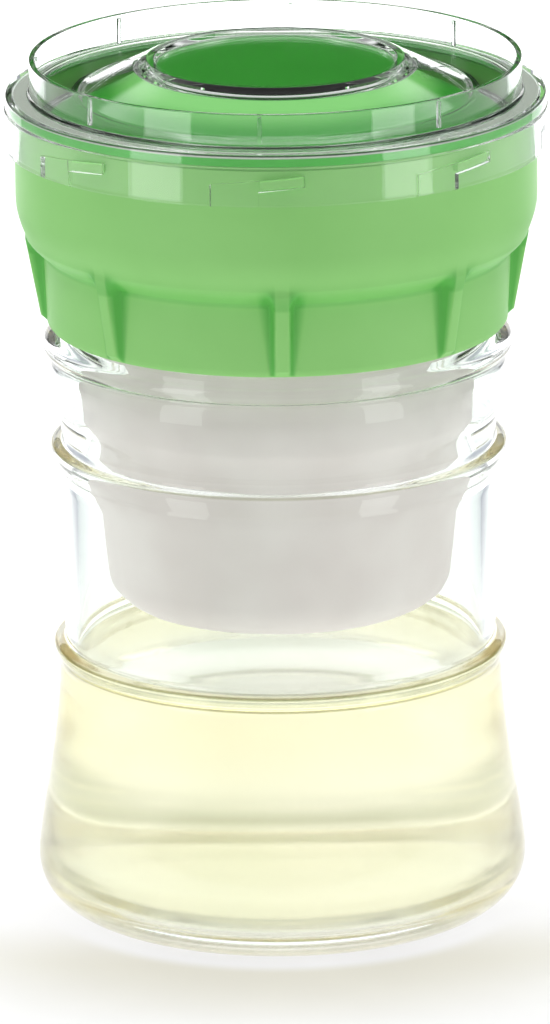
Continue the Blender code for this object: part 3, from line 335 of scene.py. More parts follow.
# %% The finishes
GLASS = finish(
    "pressed_glass", waves, screen_colour(250, 253, 251), screen_colour(246, 251, 248), 0.0, 0.00002,
    [("Transmission Weight", 1.0), ("IOR", 1.5)],
)
CLEAR = finish(
    "clear_plastic", waves, screen_colour(252, 254, 253), screen_colour(249, 252, 251), 0.0, 0.00001,
    [("Transmission Weight", 1.0), ("IOR", 1.49)], 20,
)
LEAF = finish(
    "leaf_green_plastic", grain, screen_colour(156, 224, 131), screen_colour(152, 221, 127), 0.45,
    0.000004, [("Specular IOR Level", 0.2)],
)
DEEP = finish(
    "deep_green_plastic", grain, screen_colour(48, 150, 40), screen_colour(44, 145, 36), 0.4,
    0.000003, [("Specular IOR Level", 0.15)],
)
NATURAL = finish(
    "natural_plastic", grain, screen_colour(238, 238, 232), screen_colour(232, 232, 226), 0.42, 0.000004
)
SOFT = finish(
    "soft_silicone", grain, screen_colour(232, 235, 231), screen_colour(224, 228, 224), 0.5, 0.000004
)
SEAL = finish(
    "green_silicone", grain, screen_colour(78, 206, 70), screen_colour(72, 198, 64), 0.45, 0.000004
)
CLOTH = finish(
    "mesh_cloth", weave, screen_colour(245, 239, 233), screen_colour(234, 226, 220), 0.8, 0.00004, scale=1
)
WIRE = finish(
    "spring_wire", grain, screen_colour(205, 206, 208), screen_colour(188, 190, 193), 0.24, 0.000002,
    [("Metallic", 1.0)],
)
WHEY = finish(
    "whey", waves, screen_colour(255, 246, 212), screen_colour(254, 243, 205), 0.12, 0.00001,
    [("Transmission Weight", 0.9), ("IOR", 1.34)],
)
TABLE = finish(
    "pale_table", grain, screen_colour(243, 243, 243), screen_colour(241, 241, 241), 0.6, 0.0,
    [("Specular IOR Level", 0.0)],
)
print("materials:", len(bpy.data.materials))

# %% [markdown]
# The floor is a pale sheet with shade painted into its colour. A faint olive shadow is painted in
# front of the foot, where light that has passed through the glass and the whey would fall. Behind
# the jar, well to the left and right of it, two soft grey patches of painted shade lie outside the
# picture. The rims of the glass bend the view onto them, and that draws the grey upright bands of
# the waist. A small round painted shadow close behind the foot shows through the whey, which works
# as a lens, as its darker left and right edges. Each patch is a product of smooth steps. The floor
# is also painted darker far in front, which keeps the clear cover free of haze.

# %% Patches of painted shade on the floor, as (from, to) distances in metres
BEFORE_FOOT = (-0.050, -0.015)
NEAR_FOOT = (0.056, 0.105)
UNDER_FOOT = (0.050, 0.056)
GREY_SIDE = (0.14, 0.25)
GREY_OUT = (0.42, 0.65)
GREY_BACK = (0.08, 0.20)
GREY_FAR = (0.55, 0.85)
FAR_FRONT = (-0.72, -0.26)
HEEL_ASIDE = (0.028, 0.050)
HEEL_BACK = (0.063, 0.080)
HEEL_FRONT = (0.048, 0.060)
OLIVE_SHADE = screen_colour(238, 236, 224)
GREY_SHADE = screen_colour(170, 173, 182)
HEEL_SHADE = screen_colour(200, 203, 192)
FAR_SHADE = screen_colour(188, 190, 192)

bpy.ops.object.select_all(action="DESELECT")
bpy.ops.mesh.primitive_plane_add(size=60)
floor = bpy.context.object
floor.name = "floor"
floor.data.materials.append(TABLE)


def tint(tree, colour, mask, shade, kind="MULTIPLY"):
    """Multiply a colour by a shade, or mix it with the shade, wherever the mask is 1."""
    blend = tree.nodes.new("ShaderNodeMix")
    blend.data_type = "RGBA"
    blend.blend_type = kind
    tree.links.new(mask, blend.inputs["Factor"])
    tree.links.new(colour, blend.inputs[6])
    blend.inputs[7].default_value = shade
    return blend.outputs[2]


def patch(tree, *edges):
    """1 inside all the edges. Each is (position, (from, to), mask before it, mask after it)."""
    mask = None
    for value, (low, high), start, end in edges:
        step = smooth_step(tree, value, low, high, start, end)
        mask = step if mask is None else product(tree, mask, step)
    return mask


tree = TABLE.node_tree
spot = tree.nodes.new("ShaderNodeTexCoord")
reach = tree.nodes.new("ShaderNodeVectorMath")
reach.operation = "LENGTH"
tree.links.new(spot.outputs["Object"], reach.inputs[0])
away = tree.nodes.new("ShaderNodeSeparateXYZ")
tree.links.new(spot.outputs["Object"], away.inputs[0])
sideways = tree.nodes.new("ShaderNodeMath")
sideways.operation = "ABSOLUTE"
tree.links.new(away.outputs["X"], sideways.inputs[0])
radius = reach.outputs["Value"]
aside = sideways.outputs[0]
back = away.outputs["Y"]
sheet = tree.nodes["Color Ramp"].outputs["Color"]
# Painted olive shadow in front of the foot.
olive = patch(tree, (back, BEFORE_FOOT, 1, 0), (radius, UNDER_FOOT, 0, 1), (radius, NEAR_FOOT, 1, 0))
sheet = tint(tree, sheet, olive, OLIVE_SHADE)
# Painted grey shade behind the jar, well to the left and right of it.
grey = patch(
    tree, (aside, GREY_SIDE, 0, 1), (aside, GREY_OUT, 1, 0), (back, GREY_BACK, 0, 1), (back, GREY_FAR, 1, 0)
)
sheet = tint(tree, sheet, grey, GREY_SHADE)
# Painted round shadow close behind the foot.
heel = patch(tree, (aside, HEEL_ASIDE, 1, 0), (radius, HEEL_BACK, 1, 0), (back, HEEL_FRONT, 0, 1))
sheet = tint(tree, sheet, heel, HEEL_SHADE)
# Painted shade far in front of the jar.
far_front = smooth_step(tree, back, *FAR_FRONT, 1, 0)
sheet = tint(tree, sheet, far_front, FAR_SHADE)
tree.links.new(sheet, tree.nodes["Principled BSDF"].inputs["Base Color"])

# %% [markdown]
# ## Turned pieces
#
# Nearly every piece of this jar is round, so it is made as on a lathe. A point is pulled out along
# half of the section, the outline is spun about the jar's axis, and the seam is merged. A Bevel
# modifier then breaks the sharp corners, which is what catches the light on real mouldings.

# %% Helpers for outlines
def arc(centre, radius, start, end, count):
    """Points of (radius, height) on a round stretch, from start to end degrees."""
    points = []
    for index in range(count + 1):
        angle = math.radians(start + (end - start) * index / count)
        points.append((centre[0] + radius * math.cos(angle), centre[1] + radius * math.sin(angle)))
    return points


def flowing(points, count=6):
    """A smooth line through the points, with count steps between neighbours."""
    line = []
    ends = [points[0], *points, points[-1]]
    for a, b, c, d in zip(ends, ends[1:], ends[2:], ends[3:]):
        for index in range(count):
            t = index / count
            line.append(tuple(
                0.5 * (2 * b[k] + (c[k] - a[k]) * t + (2 * a[k] - 5 * b[k] + 4 * c[k] - d[k]) * t * t
                       + (3 * b[k] - a[k] - 3 * c[k] + d[k]) * t ** 3)
                for k in (0, 1)
            ))
    line.append(points[-1])
    return line


# %% Helpers that spin and finish a piece
MERGE = 0.002 * MM


def draw_outline(name, points):
    """Pull one point along the outline, given in millimetres as (radius, height)."""
    bpy.ops.object.select_all(action="DESELECT")
    first = points[0]
    bpy.ops.mesh.primitive_plane_add(size=MM, location=(first[0] * MM, 0, first[1] * MM))
    piece = bpy.context.object
    piece.name = name
    piece.data.name = name
    bpy.ops.object.transform_apply(location=True)
    bpy.ops.object.mode_set(mode="EDIT")
    bpy.ops.mesh.merge(type="CENTER")
    for before, after in zip(points, points[1:]):
        step = ((after[0] - before[0]) * MM, 0, (after[1] - before[1]) * MM)
        bpy.ops.mesh.extrude_region_move(TRANSFORM_OT_translate={"value": step})
    return piece


def close_seams():
    """Merge what meets, turn every face outwards and go back to object mode."""
    bpy.ops.mesh.select_all(action="SELECT")
    bpy.ops.mesh.remove_doubles(threshold=MERGE)
    bpy.ops.mesh.normals_make_consistent(inside=False)
    bpy.ops.object.mode_set(mode="OBJECT")


def held(points, margin):
    """Add a point near both ends of each long stretch, so that flat faces keep their shading."""
    line = [points[0]]
    for before, after in zip(points, points[1:]):
        length = math.dist(before, after)
        if length > 4 * margin:
            for share in (margin / length, 1 - margin / length):
                line.append(tuple(before[k] + (after[k] - before[k]) * share for k in (0, 1)))
        line.append(after)
    return line


def turned(name, points, steps=160, edge=0.0, smooth=40):
    """Spin an outline once round the axis. An outline off the axis is closed into a ring."""
    on_axis = points[0][0] == 0 and points[-1][0] == 0
    outline = points if on_axis else [*points, points[0]]
    piece = draw_outline(name, held(outline, edge * 1.5 or 0.4))
    bpy.ops.mesh.select_all(action="SELECT")
    bpy.ops.mesh.spin(steps=steps, angle=math.tau, center=(0, 0, 0), axis=(0, 0, 1))
    close_seams()
    if edge:
        soften(piece, edge)
    bpy.ops.object.shade_smooth_by_angle(angle=math.radians(smooth))
    return piece


def soften(piece, edge, segments=3):
    """Break the sharp corners by a small radius in millimetres."""
    bevel = piece.modifiers.new("broken_edges", "BEVEL")
    bevel.width = edge * MM
    bevel.segments = segments
    bevel.limit_method = "ANGLE"
    bevel.angle_limit = math.radians(25)
    bpy.ops.object.modifier_apply(modifier=bevel.name)


def place_piece(piece, material, body, node=None):
    """Give a piece its finish, let it ride on its body and stand for its node."""
    piece.data.materials.clear()
    piece.data.materials.append(material)
    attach(piece, body)
    if node:
        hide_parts(node)
    piece.data.calc_loop_triangles()
    print(piece.name, len(piece.data.loop_triangles), "triangles")
    return piece


# %% [markdown]
# ## The glass jar
#
# The jar is pressed glass with a 3 mm wall. Outside, from the top, it has a straight neck, a round
# bead, a swelling shoulder, a ridge, a plain waist, a second ridge and a flared foot. The bowl hides
# the neck, so the thread isn't drawn here. The inside is smoother than the outside. Both sides are
# one outline, because glass shows its whole section: the light bends at each wall.

# %% Outline of the jar
_, jar_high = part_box("jar")
RIM = jar_high.z / MM
BASE = jar_high.x / MM
MOUTH = 42.8
NECK = 45.8
WAIST = 46.5
LOWER_RIDGE = 58.5
UPPER_RIDGE = 102.8
BEAD = 125.3
GLASS_WALL = 3.0
GLASS_FLOOR = 6.0
HEEL = 10.5
INNER_HEEL = 7.5
FOOT_RING = 3.0

rim_corner = arc((NECK - 0.9, RIM - 0.9), 0.9, 80, 0, 4)
neck = [(NECK - 0.9, RIM), *rim_corner, (NECK, RIM - 6), (NECK, BEAD + 3.6)]
bead = flowing([
    (NECK + 0.2, BEAD + 3.1), (49.0, BEAD + 2.1), (50.2, BEAD + 1.2), (50.55, BEAD), (50.1, BEAD - 1.2),
    (49.3, BEAD - 2.0), (49.05, BEAD - 4.4), (48.9, BEAD - 7.6), (48.4, BEAD - 10.6), (47.5, BEAD - 14.0),
    (47.0, UPPER_RIDGE + 5.5), (46.75, UPPER_RIDGE + 2.8),
], 5)
upper_ridge = flowing([
    (46.7, UPPER_RIDGE + 1.4), (46.9, UPPER_RIDGE + 0.95), (47.4, UPPER_RIDGE + 0.75),
    (48.6, UPPER_RIDGE + 0.4), (49.05, UPPER_RIDGE - 0.1), (48.85, UPPER_RIDGE - 1.2),
    (47.9, UPPER_RIDGE - 3.2), (46.9, UPPER_RIDGE - 5.0),
    (WAIST, UPPER_RIDGE - 7.2),
], 5)
waist = [(WAIST, height) for height in (94, 88, 82, 76, 70, 65)]
lower_ridge = flowing([
    (WAIST, LOWER_RIDGE + 1.7), (46.7, LOWER_RIDGE + 1.05), (47.3, LOWER_RIDGE + 0.75),
    (48.4, LOWER_RIDGE + 0.4), (48.85, LOWER_RIDGE - 0.1), (48.65, LOWER_RIDGE - 1.2),
    (48.0, LOWER_RIDGE - 2.6), (47.7, LOWER_RIDGE - 4.2),
], 5)
foot = flowing([
    (47.85, 50.0), (48.4, 43.5), (49.3, 35.5), (50.6, 27.0), (51.9, 19.5), (BASE - 0.1, 12.8),
], 6)
heel = arc((BASE - HEEL, HEEL), HEEL, 0, -90, 12)
under = [(BASE - HEEL - FOOT_RING, 0), (BASE - HEEL - FOOT_RING - 1.5, 0.9), (33.5, 1.8), (0, 1.8)]
inside_heel = arc(
    (BASE - GLASS_WALL - INNER_HEEL, GLASS_FLOOR + INNER_HEEL), INNER_HEEL, -90, 0, 10
)
inside_foot = flowing([
    (BASE - GLASS_WALL, 15.0), (49.0, 19.5), (47.6, 27.0), (46.2, 36.0), (45.2, 45.0), (44.3, 54.5),
    (43.6, 61.0),
], 5)
inside_waist = [(WAIST - GLASS_WALL, height) for height in (66, 73, 80, 87, 94)]
inside_shoulder = flowing([
    (WAIST - GLASS_WALL, 101.0), (44.2, 107.0), (45.6, 113.0), (46.1, 118.0), (45.4, 123.0), (43.5, 126.9),
    (MOUTH, 129.2),
], 5)
inside_neck = [(MOUTH, RIM - 6), (MOUTH, RIM - 0.9), (MOUTH + 0.3, RIM - 0.25), (MOUTH + 0.9, RIM)]
inside_wall = inside_heel + inside_foot + inside_waist + inside_shoulder + inside_neck

# %% [markdown]
# A clear moulding looks darkest along its sharp edges, where it bends the view away from the bright
# studio. Colour masks close to rings about the axis paint that shade into the material's colour. They
# depend only on the place on the piece, so they hold from every side.

# %% Painted shade in the corners of clear mouldings
METRES_TO_MM = 1000
RING_CORE = 0.1


def darken_rings(material, name, rings, width, shade):
    """Paint shade into a clear material's colour near rings about the axis, given in mm as (radius, height).
    """
    corners, start, end = new_group(name, [("Width", width)], ["Mask"])
    place = corners.nodes.new("ShaderNodeTexCoord")
    flat = corners.nodes.new("ShaderNodeVectorMath")
    flat.operation = "MULTIPLY"
    flat.inputs[1].default_value = (METRES_TO_MM, METRES_TO_MM, 0)
    level = corners.nodes.new("ShaderNodeVectorMath")
    level.operation = "MULTIPLY"
    level.inputs[1].default_value = (0, 0, METRES_TO_MM)
    away = corners.nodes.new("ShaderNodeVectorMath")
    away.operation = "LENGTH"
    corners.links.new(place.outputs["Object"], flat.inputs[0])
    corners.links.new(place.outputs["Object"], level.inputs[0])
    corners.links.new(flat.outputs[0], away.inputs[0])
    height = corners.nodes.new("ShaderNodeSeparateXYZ")
    corners.links.new(level.outputs[0], height.inputs[0])
    section = corners.nodes.new("ShaderNodeCombineXYZ")
    corners.links.new(away.outputs["Value"], section.inputs["X"])
    corners.links.new(height.outputs["Z"], section.inputs["Z"])
    outside = None
    for radius, level_of_ring in rings:
        gap_to_ring = corners.nodes.new("ShaderNodeVectorMath")
        gap_to_ring.operation = "DISTANCE"
        gap_to_ring.inputs[1].default_value = (radius, 0, level_of_ring)
        corners.links.new(section.outputs[0], gap_to_ring.inputs[0])
        clear_of_ring = smooth_step(corners, gap_to_ring.outputs["Value"], RING_CORE, width, 0, 1)
        corners.links.new(start.outputs["Width"], clear_of_ring.node.inputs["From Max"])
        outside = clear_of_ring if outside is None else product(corners, outside, clear_of_ring)
    inside = smooth_step(corners, outside, 0, 1, 1, 0)
    corners.links.new(inside, end.inputs["Mask"])
    tree = material.node_tree
    mask = tree.nodes.new("ShaderNodeGroup")
    mask.node_tree = corners
    base = tree.nodes["Principled BSDF"].inputs["Base Color"]
    tree.links.new(tint(tree, base.links[0].from_socket, mask.outputs["Mask"], shade), base)


LOWER_EDGES = [(48.7, LOWER_RIDGE + 0.25), (48.0, LOWER_RIDGE - 2.8)]
UPPER_EDGE = [(48.8, UPPER_RIDGE + 0.25)]
RIDGE_FACE = [(48.3, LOWER_RIDGE - 1.2)]
LINE_WIDTH = 0.6
FACE_WIDTH = 2.4
# Painted shade on the glass ridges: olive lines along their edges and a pale olive band on the lower ridge's
# face.
darken_rings(GLASS, "lower_ridge_corners", LOWER_EDGES, LINE_WIDTH, screen_colour(150, 150, 112))
darken_rings(GLASS, "upper_ridge_corner", UPPER_EDGE, LINE_WIDTH, screen_colour(205, 206, 184))
darken_rings(GLASS, "ridge_face", RIDGE_FACE, FACE_WIDTH, screen_colour(243, 240, 205))

# %% Spin the jar
glass_jar = turned(
    "glass_jar",
    [(0, GLASS_FLOOR)] + inside_wall + neck + bead + upper_ridge + waist + lower_ridge + foot + heel + under,
    steps=192, smooth=60,
)
place_piece(glass_jar, GLASS, "jar", "jar")

# %% [markdown]
# The whey stands in the foot of the jar, wets the glass and creeps up it in a small meniscus. A
# liquid that ended short of the glass would show a bright gap of air, so its wall reaches a tenth
# of a millimetre into the glass: a ray then bends as it does from glass to water. Light is painted
# into the whey's colour: it is paler low down and at its top surface, as in the photograph.

# %% Whey
WHEY_LEVEL = 56.8
WET = 0.12
MENISCUS = 1.3
WHEY_RADIUS = 44.06
HEEL_TOP = 12
PALE_BELOW = (5 * MM, 30 * MM)
TOP_BAND = ((WHEY_LEVEL - 0.6) * MM, (WHEY_LEVEL - 0.1) * MM)
PALE_WHEY = screen_colour(255, 252, 240)
TOP_WHEY = screen_colour(249, 250, 241)

meniscus = flowing([
    (0, WHEY_LEVEL), (20, WHEY_LEVEL), (38, WHEY_LEVEL), (WHEY_RADIUS - 2.6, WHEY_LEVEL + 0.1),
    (WHEY_RADIUS - 0.9, WHEY_LEVEL + 0.5), (WHEY_RADIUS + WET, WHEY_LEVEL + MENISCUS),
], 5)
wetted = [
    (radius + WET, height - (WET if height < HEEL_TOP else 0))
    for radius, height in reversed(inside_wall) if height < WHEY_LEVEL
]
tree = WHEY.node_tree
spot = tree.nodes.new("ShaderNodeTexCoord")
depth = tree.nodes.new("ShaderNodeSeparateXYZ")
tree.links.new(spot.outputs["Object"], depth.inputs[0])
# Painted light: the colour turns paler low down and in a thin band under the top surface.
low_down = smooth_step(tree, depth.outputs["Z"], *PALE_BELOW, 1, 0)
near_top = smooth_step(tree, depth.outputs["Z"], *TOP_BAND, 0, 1)
pale = tint(tree, tree.nodes["Color Ramp"].outputs["Color"], low_down, PALE_WHEY, "MIX")
topped = tint(tree, pale, near_top, TOP_WHEY, "MIX")
tree.links.new(topped, tree.nodes["Principled BSDF"].inputs["Base Color"])
whey = turned("whey", meniscus + wetted + [(0, GLASS_FLOOR - WET)], steps=128, smooth=50)
place_piece(whey, WHEY, "jar", "whey")

# %% [markdown]
# ## The green bowl
#
# The bowl screws onto the jar and carries the press and the cover. Its grip ribs grow out of the
# wall with soft hollow flanks and widen into the shoulder above. A joint cut between two solids
# would be too sharp for that, so the wall is spun with close columns at each rib, and the ribs are
# drawn out of it by moving its points.

# %% Outline of the bowl
collar_low, collar_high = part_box("collar")
BOWL_TOP = collar_high.z / MM
BOWL_FOOT = collar_low.z / MM
BOWL = 55.8
BOWL_INSIDE = 53.4
EDGE_RADIUS = 54.0
EDGE_HEIGHT = 149.7
WALL_TOP = 50.0
WALL_FOOT = 49.4
WALL_START = 143.6
BORE = 47.6
ROOF = 143.8
SEAT = 146.0
LEDGE = 169.6

swell = []
for index in range(9):
    share = 1 - index / 8
    swell.append((EDGE_RADIUS + 1.8 * math.sin(share * math.pi / 2), EDGE_HEIGHT + 0.4 + 7.4 * share))
under_edge = flowing([
    (EDGE_RADIUS - 0.15, EDGE_HEIGHT - 0.2), (EDGE_RADIUS - 0.8, EDGE_HEIGHT - 1.1), (52.2, 147.6),
    (50.9, 146.5), (50.2, 145.8), (WALL_TOP, 144.7),
], 4)
plain_wall = []
for index in range(14):
    share = index / 13
    height = WALL_START - (WALL_START - BOWL_FOOT - 0.5) * share
    plain_wall.append((WALL_TOP + (WALL_FOOT - WALL_TOP) * share, height))
bowl_outline = [
    (BOWL_INSIDE + 0.4, BOWL_TOP), (BOWL - 0.4, BOWL_TOP), (BOWL, BOWL_TOP - 0.4), (BOWL, 170), (BOWL, 163),
]
bowl_outline += swell + under_edge + plain_wall
bowl_outline += [
    (WALL_FOOT - 0.4, BOWL_FOOT), (BORE + 0.6, BOWL_FOOT), (BORE, BOWL_FOOT + 0.9), (BORE, ROOF),
    (43.1, ROOF), (43.1, SEAT), (48.2, SEAT), (48.2, 148.3), (51.6, 151.4), (BOWL_INSIDE, 157.5),
    (BOWL_INSIDE, 166.6), (BOWL_INSIDE - 2, LEDGE - 1), (BOWL_INSIDE - 2, LEDGE), (BOWL_INSIDE, LEDGE),
    (BOWL_INSIDE, BOWL_TOP - 0.4),
]

# %% Spin the bowl, close-stepped at each rib
RIB_COUNT = 8
RIB_SPACING = 360 / RIB_COUNT
RIB_ZONE = 12.0
RIB_STEPS = 34
PLAIN_STEPS = 12
FRONT = -90.0

green_bowl = draw_outline("green_bowl", [*bowl_outline, bowl_outline[0]])
bpy.ops.mesh.select_all(action="SELECT")
for index in range(RIB_COUNT):
    for sweep, steps in ((RIB_ZONE, RIB_STEPS), (RIB_SPACING - RIB_ZONE, PLAIN_STEPS)):
        bpy.ops.mesh.spin(steps=steps, angle=-math.radians(sweep), center=(0, 0, 0), axis=(0, 0, 1))
close_seams()

# %% Draw the ribs out of the wall
RIB_HALF_WIDTH = 1.55
RIB_FILLET = 1.15
RIB_FLARE = 1.3
SHOULDER_TURN = 152.0
SHOULDER_CORNER = 145.7
CREST_FOOT = 131.0
CREST_RADIUS = 50.7
CREST_LEAN = 0.185
CREST_NOTCH = 1.9
HOLLOW_REACH = 2.3
HOLLOW_LEAN = 0.16
HOLLOW_SHADE = screen_colour(172, 222, 178)


def smooth_share(value, low, high):
    """0 below low, 1 above high, and a smooth rise between."""
    t = min(1, max(0, (value - low) / (high - low)))
    return t * t * (3 - 2 * t)


def rib_crest(height):
    """Radius of a rib's crest at a height, in millimetres."""
    lifted = CREST_RADIUS + (height - CREST_FOOT) * CREST_LEAN
    return lifted - CREST_NOTCH * (1 - smooth_share(height, CREST_FOOT - 1, CREST_FOOT))


def hollow_share(height, aside):
    """How much shade is painted on a point in the hollows beside a rib and under the shoulder, 0 to 1."""
    under = smooth_share(SHOULDER_TURN - height, 0, SHOULDER_TURN - SHOULDER_CORNER)
    under *= 0.5 * (1 - 0.85 * smooth_share(SHOULDER_CORNER - 0.2 - height, 0, 0.9))
    under *= 1 - smooth_share(SHOULDER_CORNER - height, 0, 9)
    reach = HOLLOW_REACH + (height - CREST_FOOT) * HOLLOW_LEAN
    beside = smooth_share(aside, RIB_HALF_WIDTH - 0.3, RIB_HALF_WIDTH + 0.3)
    beside *= 1 - 0.9 * smooth_share(aside, RIB_HALF_WIDTH + 0.6, reach + 1.0)
    beside *= 1 - smooth_share(height, 146.0, SHOULDER_TURN)
    beside *= 1 - smooth_share(aside, reach, reach + 1.2)
    return min(1, under + beside)


# A point attribute holds how much shade is painted beside the ribs and under the shoulder.
hollows = green_bowl.data.attributes.new("hollow", "FLOAT", "POINT")
turn_back = Matrix.Rotation(math.radians(RIB_ZONE / 2), 4, "Z")
for vertex in green_bowl.data.vertices:
    vertex.co = turn_back.inverted() @ vertex.co
    radius = math.hypot(vertex.co.x, vertex.co.y) / MM
    height = vertex.co.z / MM
    if radius < WALL_FOOT - 0.1 or not BOWL_FOOT + 0.2 < height < SHOULDER_TURN:
        continue
    angle = math.degrees(math.atan2(vertex.co.y, vertex.co.x)) - FRONT
    off = (angle + RIB_SPACING / 2) % RIB_SPACING - RIB_SPACING / 2
    aside = abs(math.radians(off)) * radius
    flare = RIB_FLARE * smooth_share(height, 143.5, 149.5) ** 2
    fillet = RIB_FILLET + flare * 0.7
    flank = RIB_HALF_WIDTH + flare * 0.5
    share = 1 - smooth_share(aside, flank - 0.5, flank + fillet)
    hollows.data[vertex.index].value = hollow_share(height, aside)
    if height > EDGE_HEIGHT:
        continue
    crest = max(radius, min(rib_crest(height), EDGE_RADIUS - 0.1))
    drawn = radius + (crest - radius) * share
    vertex.co.x *= drawn / radius
    vertex.co.y *= drawn / radius
green_bowl.data.update()
bpy.ops.object.shade_smooth_by_angle(angle=math.radians(40))

# %% Shade in the hollows
tree = LEAF.node_tree
mask = tree.nodes.new("ShaderNodeAttribute")
mask.attribute_name = "hollow"
shaded = tint(tree, tree.nodes["Color Ramp"].outputs["Color"], mask.outputs["Fac"], HOLLOW_SHADE)
tree.links.new(shaded, tree.nodes["Principled BSDF"].inputs["Base Color"])

# %% [markdown]
# Eight small lugs stand out round the top of the bowl. They sit in the slots of the cover's skirt
# and hold it down. Each is a short square bar that follows the wall and climbs a little.

# %% Lugs of the bowl
LUG_SPAN = 9.1
LUG_LEVEL = 173.7
LUG_TALL = 1.85
LUG_ROOT = 55.2
LUG_CREST = 57.2
CLIMB = 0.0055


def swept_block(name, section, start, sweep, steps, climb=0.0):
    """Spin a four-sided section through part of a turn. It climbs by metres per radian.

    Blender spins clockwise for a positive angle, so the angle is negative here.
    """
    block = draw_outline(name, [*section, section[0]])
    bpy.ops.mesh.select_all(action="SELECT")
    bpy.ops.mesh.remove_doubles(threshold=MERGE)
    bpy.ops.mesh.edge_face_add()
    bpy.ops.mesh.spin(steps=steps, angle=-math.radians(sweep), center=(0, 0, 0), axis=(0, 0, 1))
    close_seams()
    turn = Matrix.Rotation(math.radians(start), 4, "Z")
    for vertex in block.data.vertices:
        vertex.co.z += climb * math.atan2(vertex.co.y, vertex.co.x)
        vertex.co = turn @ vertex.co
    return block


def square_section(inner, outer, low, high):
    return [(inner, high), (outer, high), (outer, low), (inner, low)]


def join_into(target, extras):
    """Join pieces into one object, as separate shells of it."""
    bpy.ops.object.select_all(action="DESELECT")
    for extra in extras:
        extra.select_set(True)
    target.select_set(True)
    bpy.context.view_layer.objects.active = target
    bpy.ops.object.join()
    return target


lugs = []
for index in range(RIB_COUNT):
    start = FRONT + index * RIB_SPACING - LUG_SPAN / 2
    low = LUG_LEVEL - LUG_TALL / 2 - CLIMB / MM * math.radians(LUG_SPAN / 2)
    section = square_section(LUG_ROOT, LUG_CREST, low, low + LUG_TALL)
    lug = swept_block(f"lug_{index}", section, start, LUG_SPAN, 6, CLIMB)
    soften(lug, 0.25, 2)
    bpy.ops.object.shade_smooth_by_angle(angle=math.radians(40))
    lugs.append(lug)
join_into(green_bowl, lugs)
place_piece(green_bowl, LEAF, "collar", "collar")

# %% [markdown]
# ## The hoop, the bag and the clamp ring
#
# The bag hangs from a hoop in the jar's mouth, and a snap ring holds its hem. Wet cloth full of
# curd is drawn tight and smooth by the weight, with a few soft folds below the hoop, where the
# cloth gathers. The bag is a thin turned shell, and the folds are pushed into it point by point.

# %% Hoop and clamp ring
hoop = turned("bag_hoop", [
    (40.7, 147.8), (46.6, 147.8), (46.6, 146.3), (41.9, 146.3), (41.9, 128.4), (40.7, 128.4),
], 128, 0.3)
place_piece(hoop, NATURAL, "collar", "strainer_hoop")
clamp = turned("clamp_ring", [
    (40.7, 150.6), (47.9, 150.6), (47.9, 146.6), (46.9, 146.6), (46.9, 149.1), (40.7, 149.1),
], 128, 0.3)
place_piece(clamp, NATURAL, "collar", "bag_clamp_ring")

# %% Bag
CLOTH_WALL = 0.7
NECK_OF_BAG = 40.4
BAG_FLOOR = 68.2
BAG_CORNER_TOP = 74

outside = flowing([
    (NECK_OF_BAG, 127.4), (40.9, 122.0), (41.4, 116.0), (41.3, 111.0), (40.2, 106.5), (39.3, 99.0),
    (38.4, 90.0), (37.6, 81.5), (37.0, 76.0),
], 6)
corner = arc((37.2 - 8.4, BAG_FLOOR + 8.0), 8.2, -6, -90, 9)
bag_outside = [(46.3, 148.1), (NECK_OF_BAG, 148.1), *outside, *corner]
bag_outside += [(20, BAG_FLOOR - 0.1), (0, BAG_FLOOR)]
bag_inside = [
    (max(0, radius - CLOTH_WALL), height + (CLOTH_WALL if height < BAG_CORNER_TOP else 0))
    for radius, height in bag_outside[1:]
]
bag_inside[-1] = (0, BAG_FLOOR + CLOTH_WALL)
bag_inside[0] = (NECK_OF_BAG - CLOTH_WALL, 148.8)
bag = turned("mesh_bag", [*reversed(bag_inside), (46.3, 148.8), *bag_outside], 180, smooth=60)

# %% Folds and a weave map for the bag
FOLD = 0.55
FOLD_TOP = 128
BROAD_WAVES = 2.2
BROAD_TALL = 26
FINE_WAVES = 9
FINE_TALL = 16
GATHER_LEVEL = 117
CORNER_LEVEL = 74

for vertex in bag.data.vertices:
    height = vertex.co.z / MM
    if height > FOLD_TOP:
        continue
    around = math.atan2(vertex.co.y, vertex.co.x)
    cosine = math.cos(around)
    sine = math.sin(around)
    broad_fold = noise.noise(Vector((cosine * BROAD_WAVES, sine * BROAD_WAVES, height / BROAD_TALL)))
    fine_fold = noise.noise(Vector((cosine * FINE_WAVES, sine * FINE_WAVES, height / FINE_TALL)))
    below_hoop = 0.9 * math.exp(-((height - GATHER_LEVEL) / 8) ** 2)
    at_corner = 0.8 * math.exp(-((height - CORNER_LEVEL) / 5) ** 2)
    gather = 0.35 + below_hoop + at_corner
    push = FOLD * gather * (broad_fold + 0.55 * fine_fold) * min(1, (FOLD_TOP - height) / 4) * MM
    radius = math.hypot(vertex.co.x, vertex.co.y)
    if radius > 10 * MM:
        vertex.co.x += vertex.co.x / radius * push
        vertex.co.y += vertex.co.y / radius * push

weave_map = bag.data.uv_layers.new(name="weave")
THREAD = 0.45
for loop in bag.data.loops:
    point = bag.data.vertices[loop.vertex_index].co
    across_cloth = math.atan2(point.y, point.x) * 40 / THREAD
    weave_map.data[loop.index].uv = (across_cloth / 20, point.z / MM / THREAD / 20)
place_piece(bag, CLOTH, "collar", "strainer_bag")

# %% [markdown]
# ## The press head
#
# Two springs of unlike strength sit one inside the other between the plate and the cap. The cap
# is a deep green cone whose tube guides the stem, and a plain disc closes the tube's top. Under the
# clear cover the cone looks dark in the groove at its rim and pale round the disc. Two masks paint
# that into its colour: shade in the groove, and a pale haze round the disc, which stands for the
# light that the clear cover lays over it.

# %% Cap and disc
GROOVE_START = 48.6 * MM
GROOVE_END = 49.8 * MM
DISC_EDGE = (26.5 * MM, 28.0 * MM)
PALE_EDGE = (30.0 * MM, 37.0 * MM)
GROOVE_SHADE = screen_colour(60, 74, 60)
HAZE_GREEN = screen_colour(118, 196, 102)

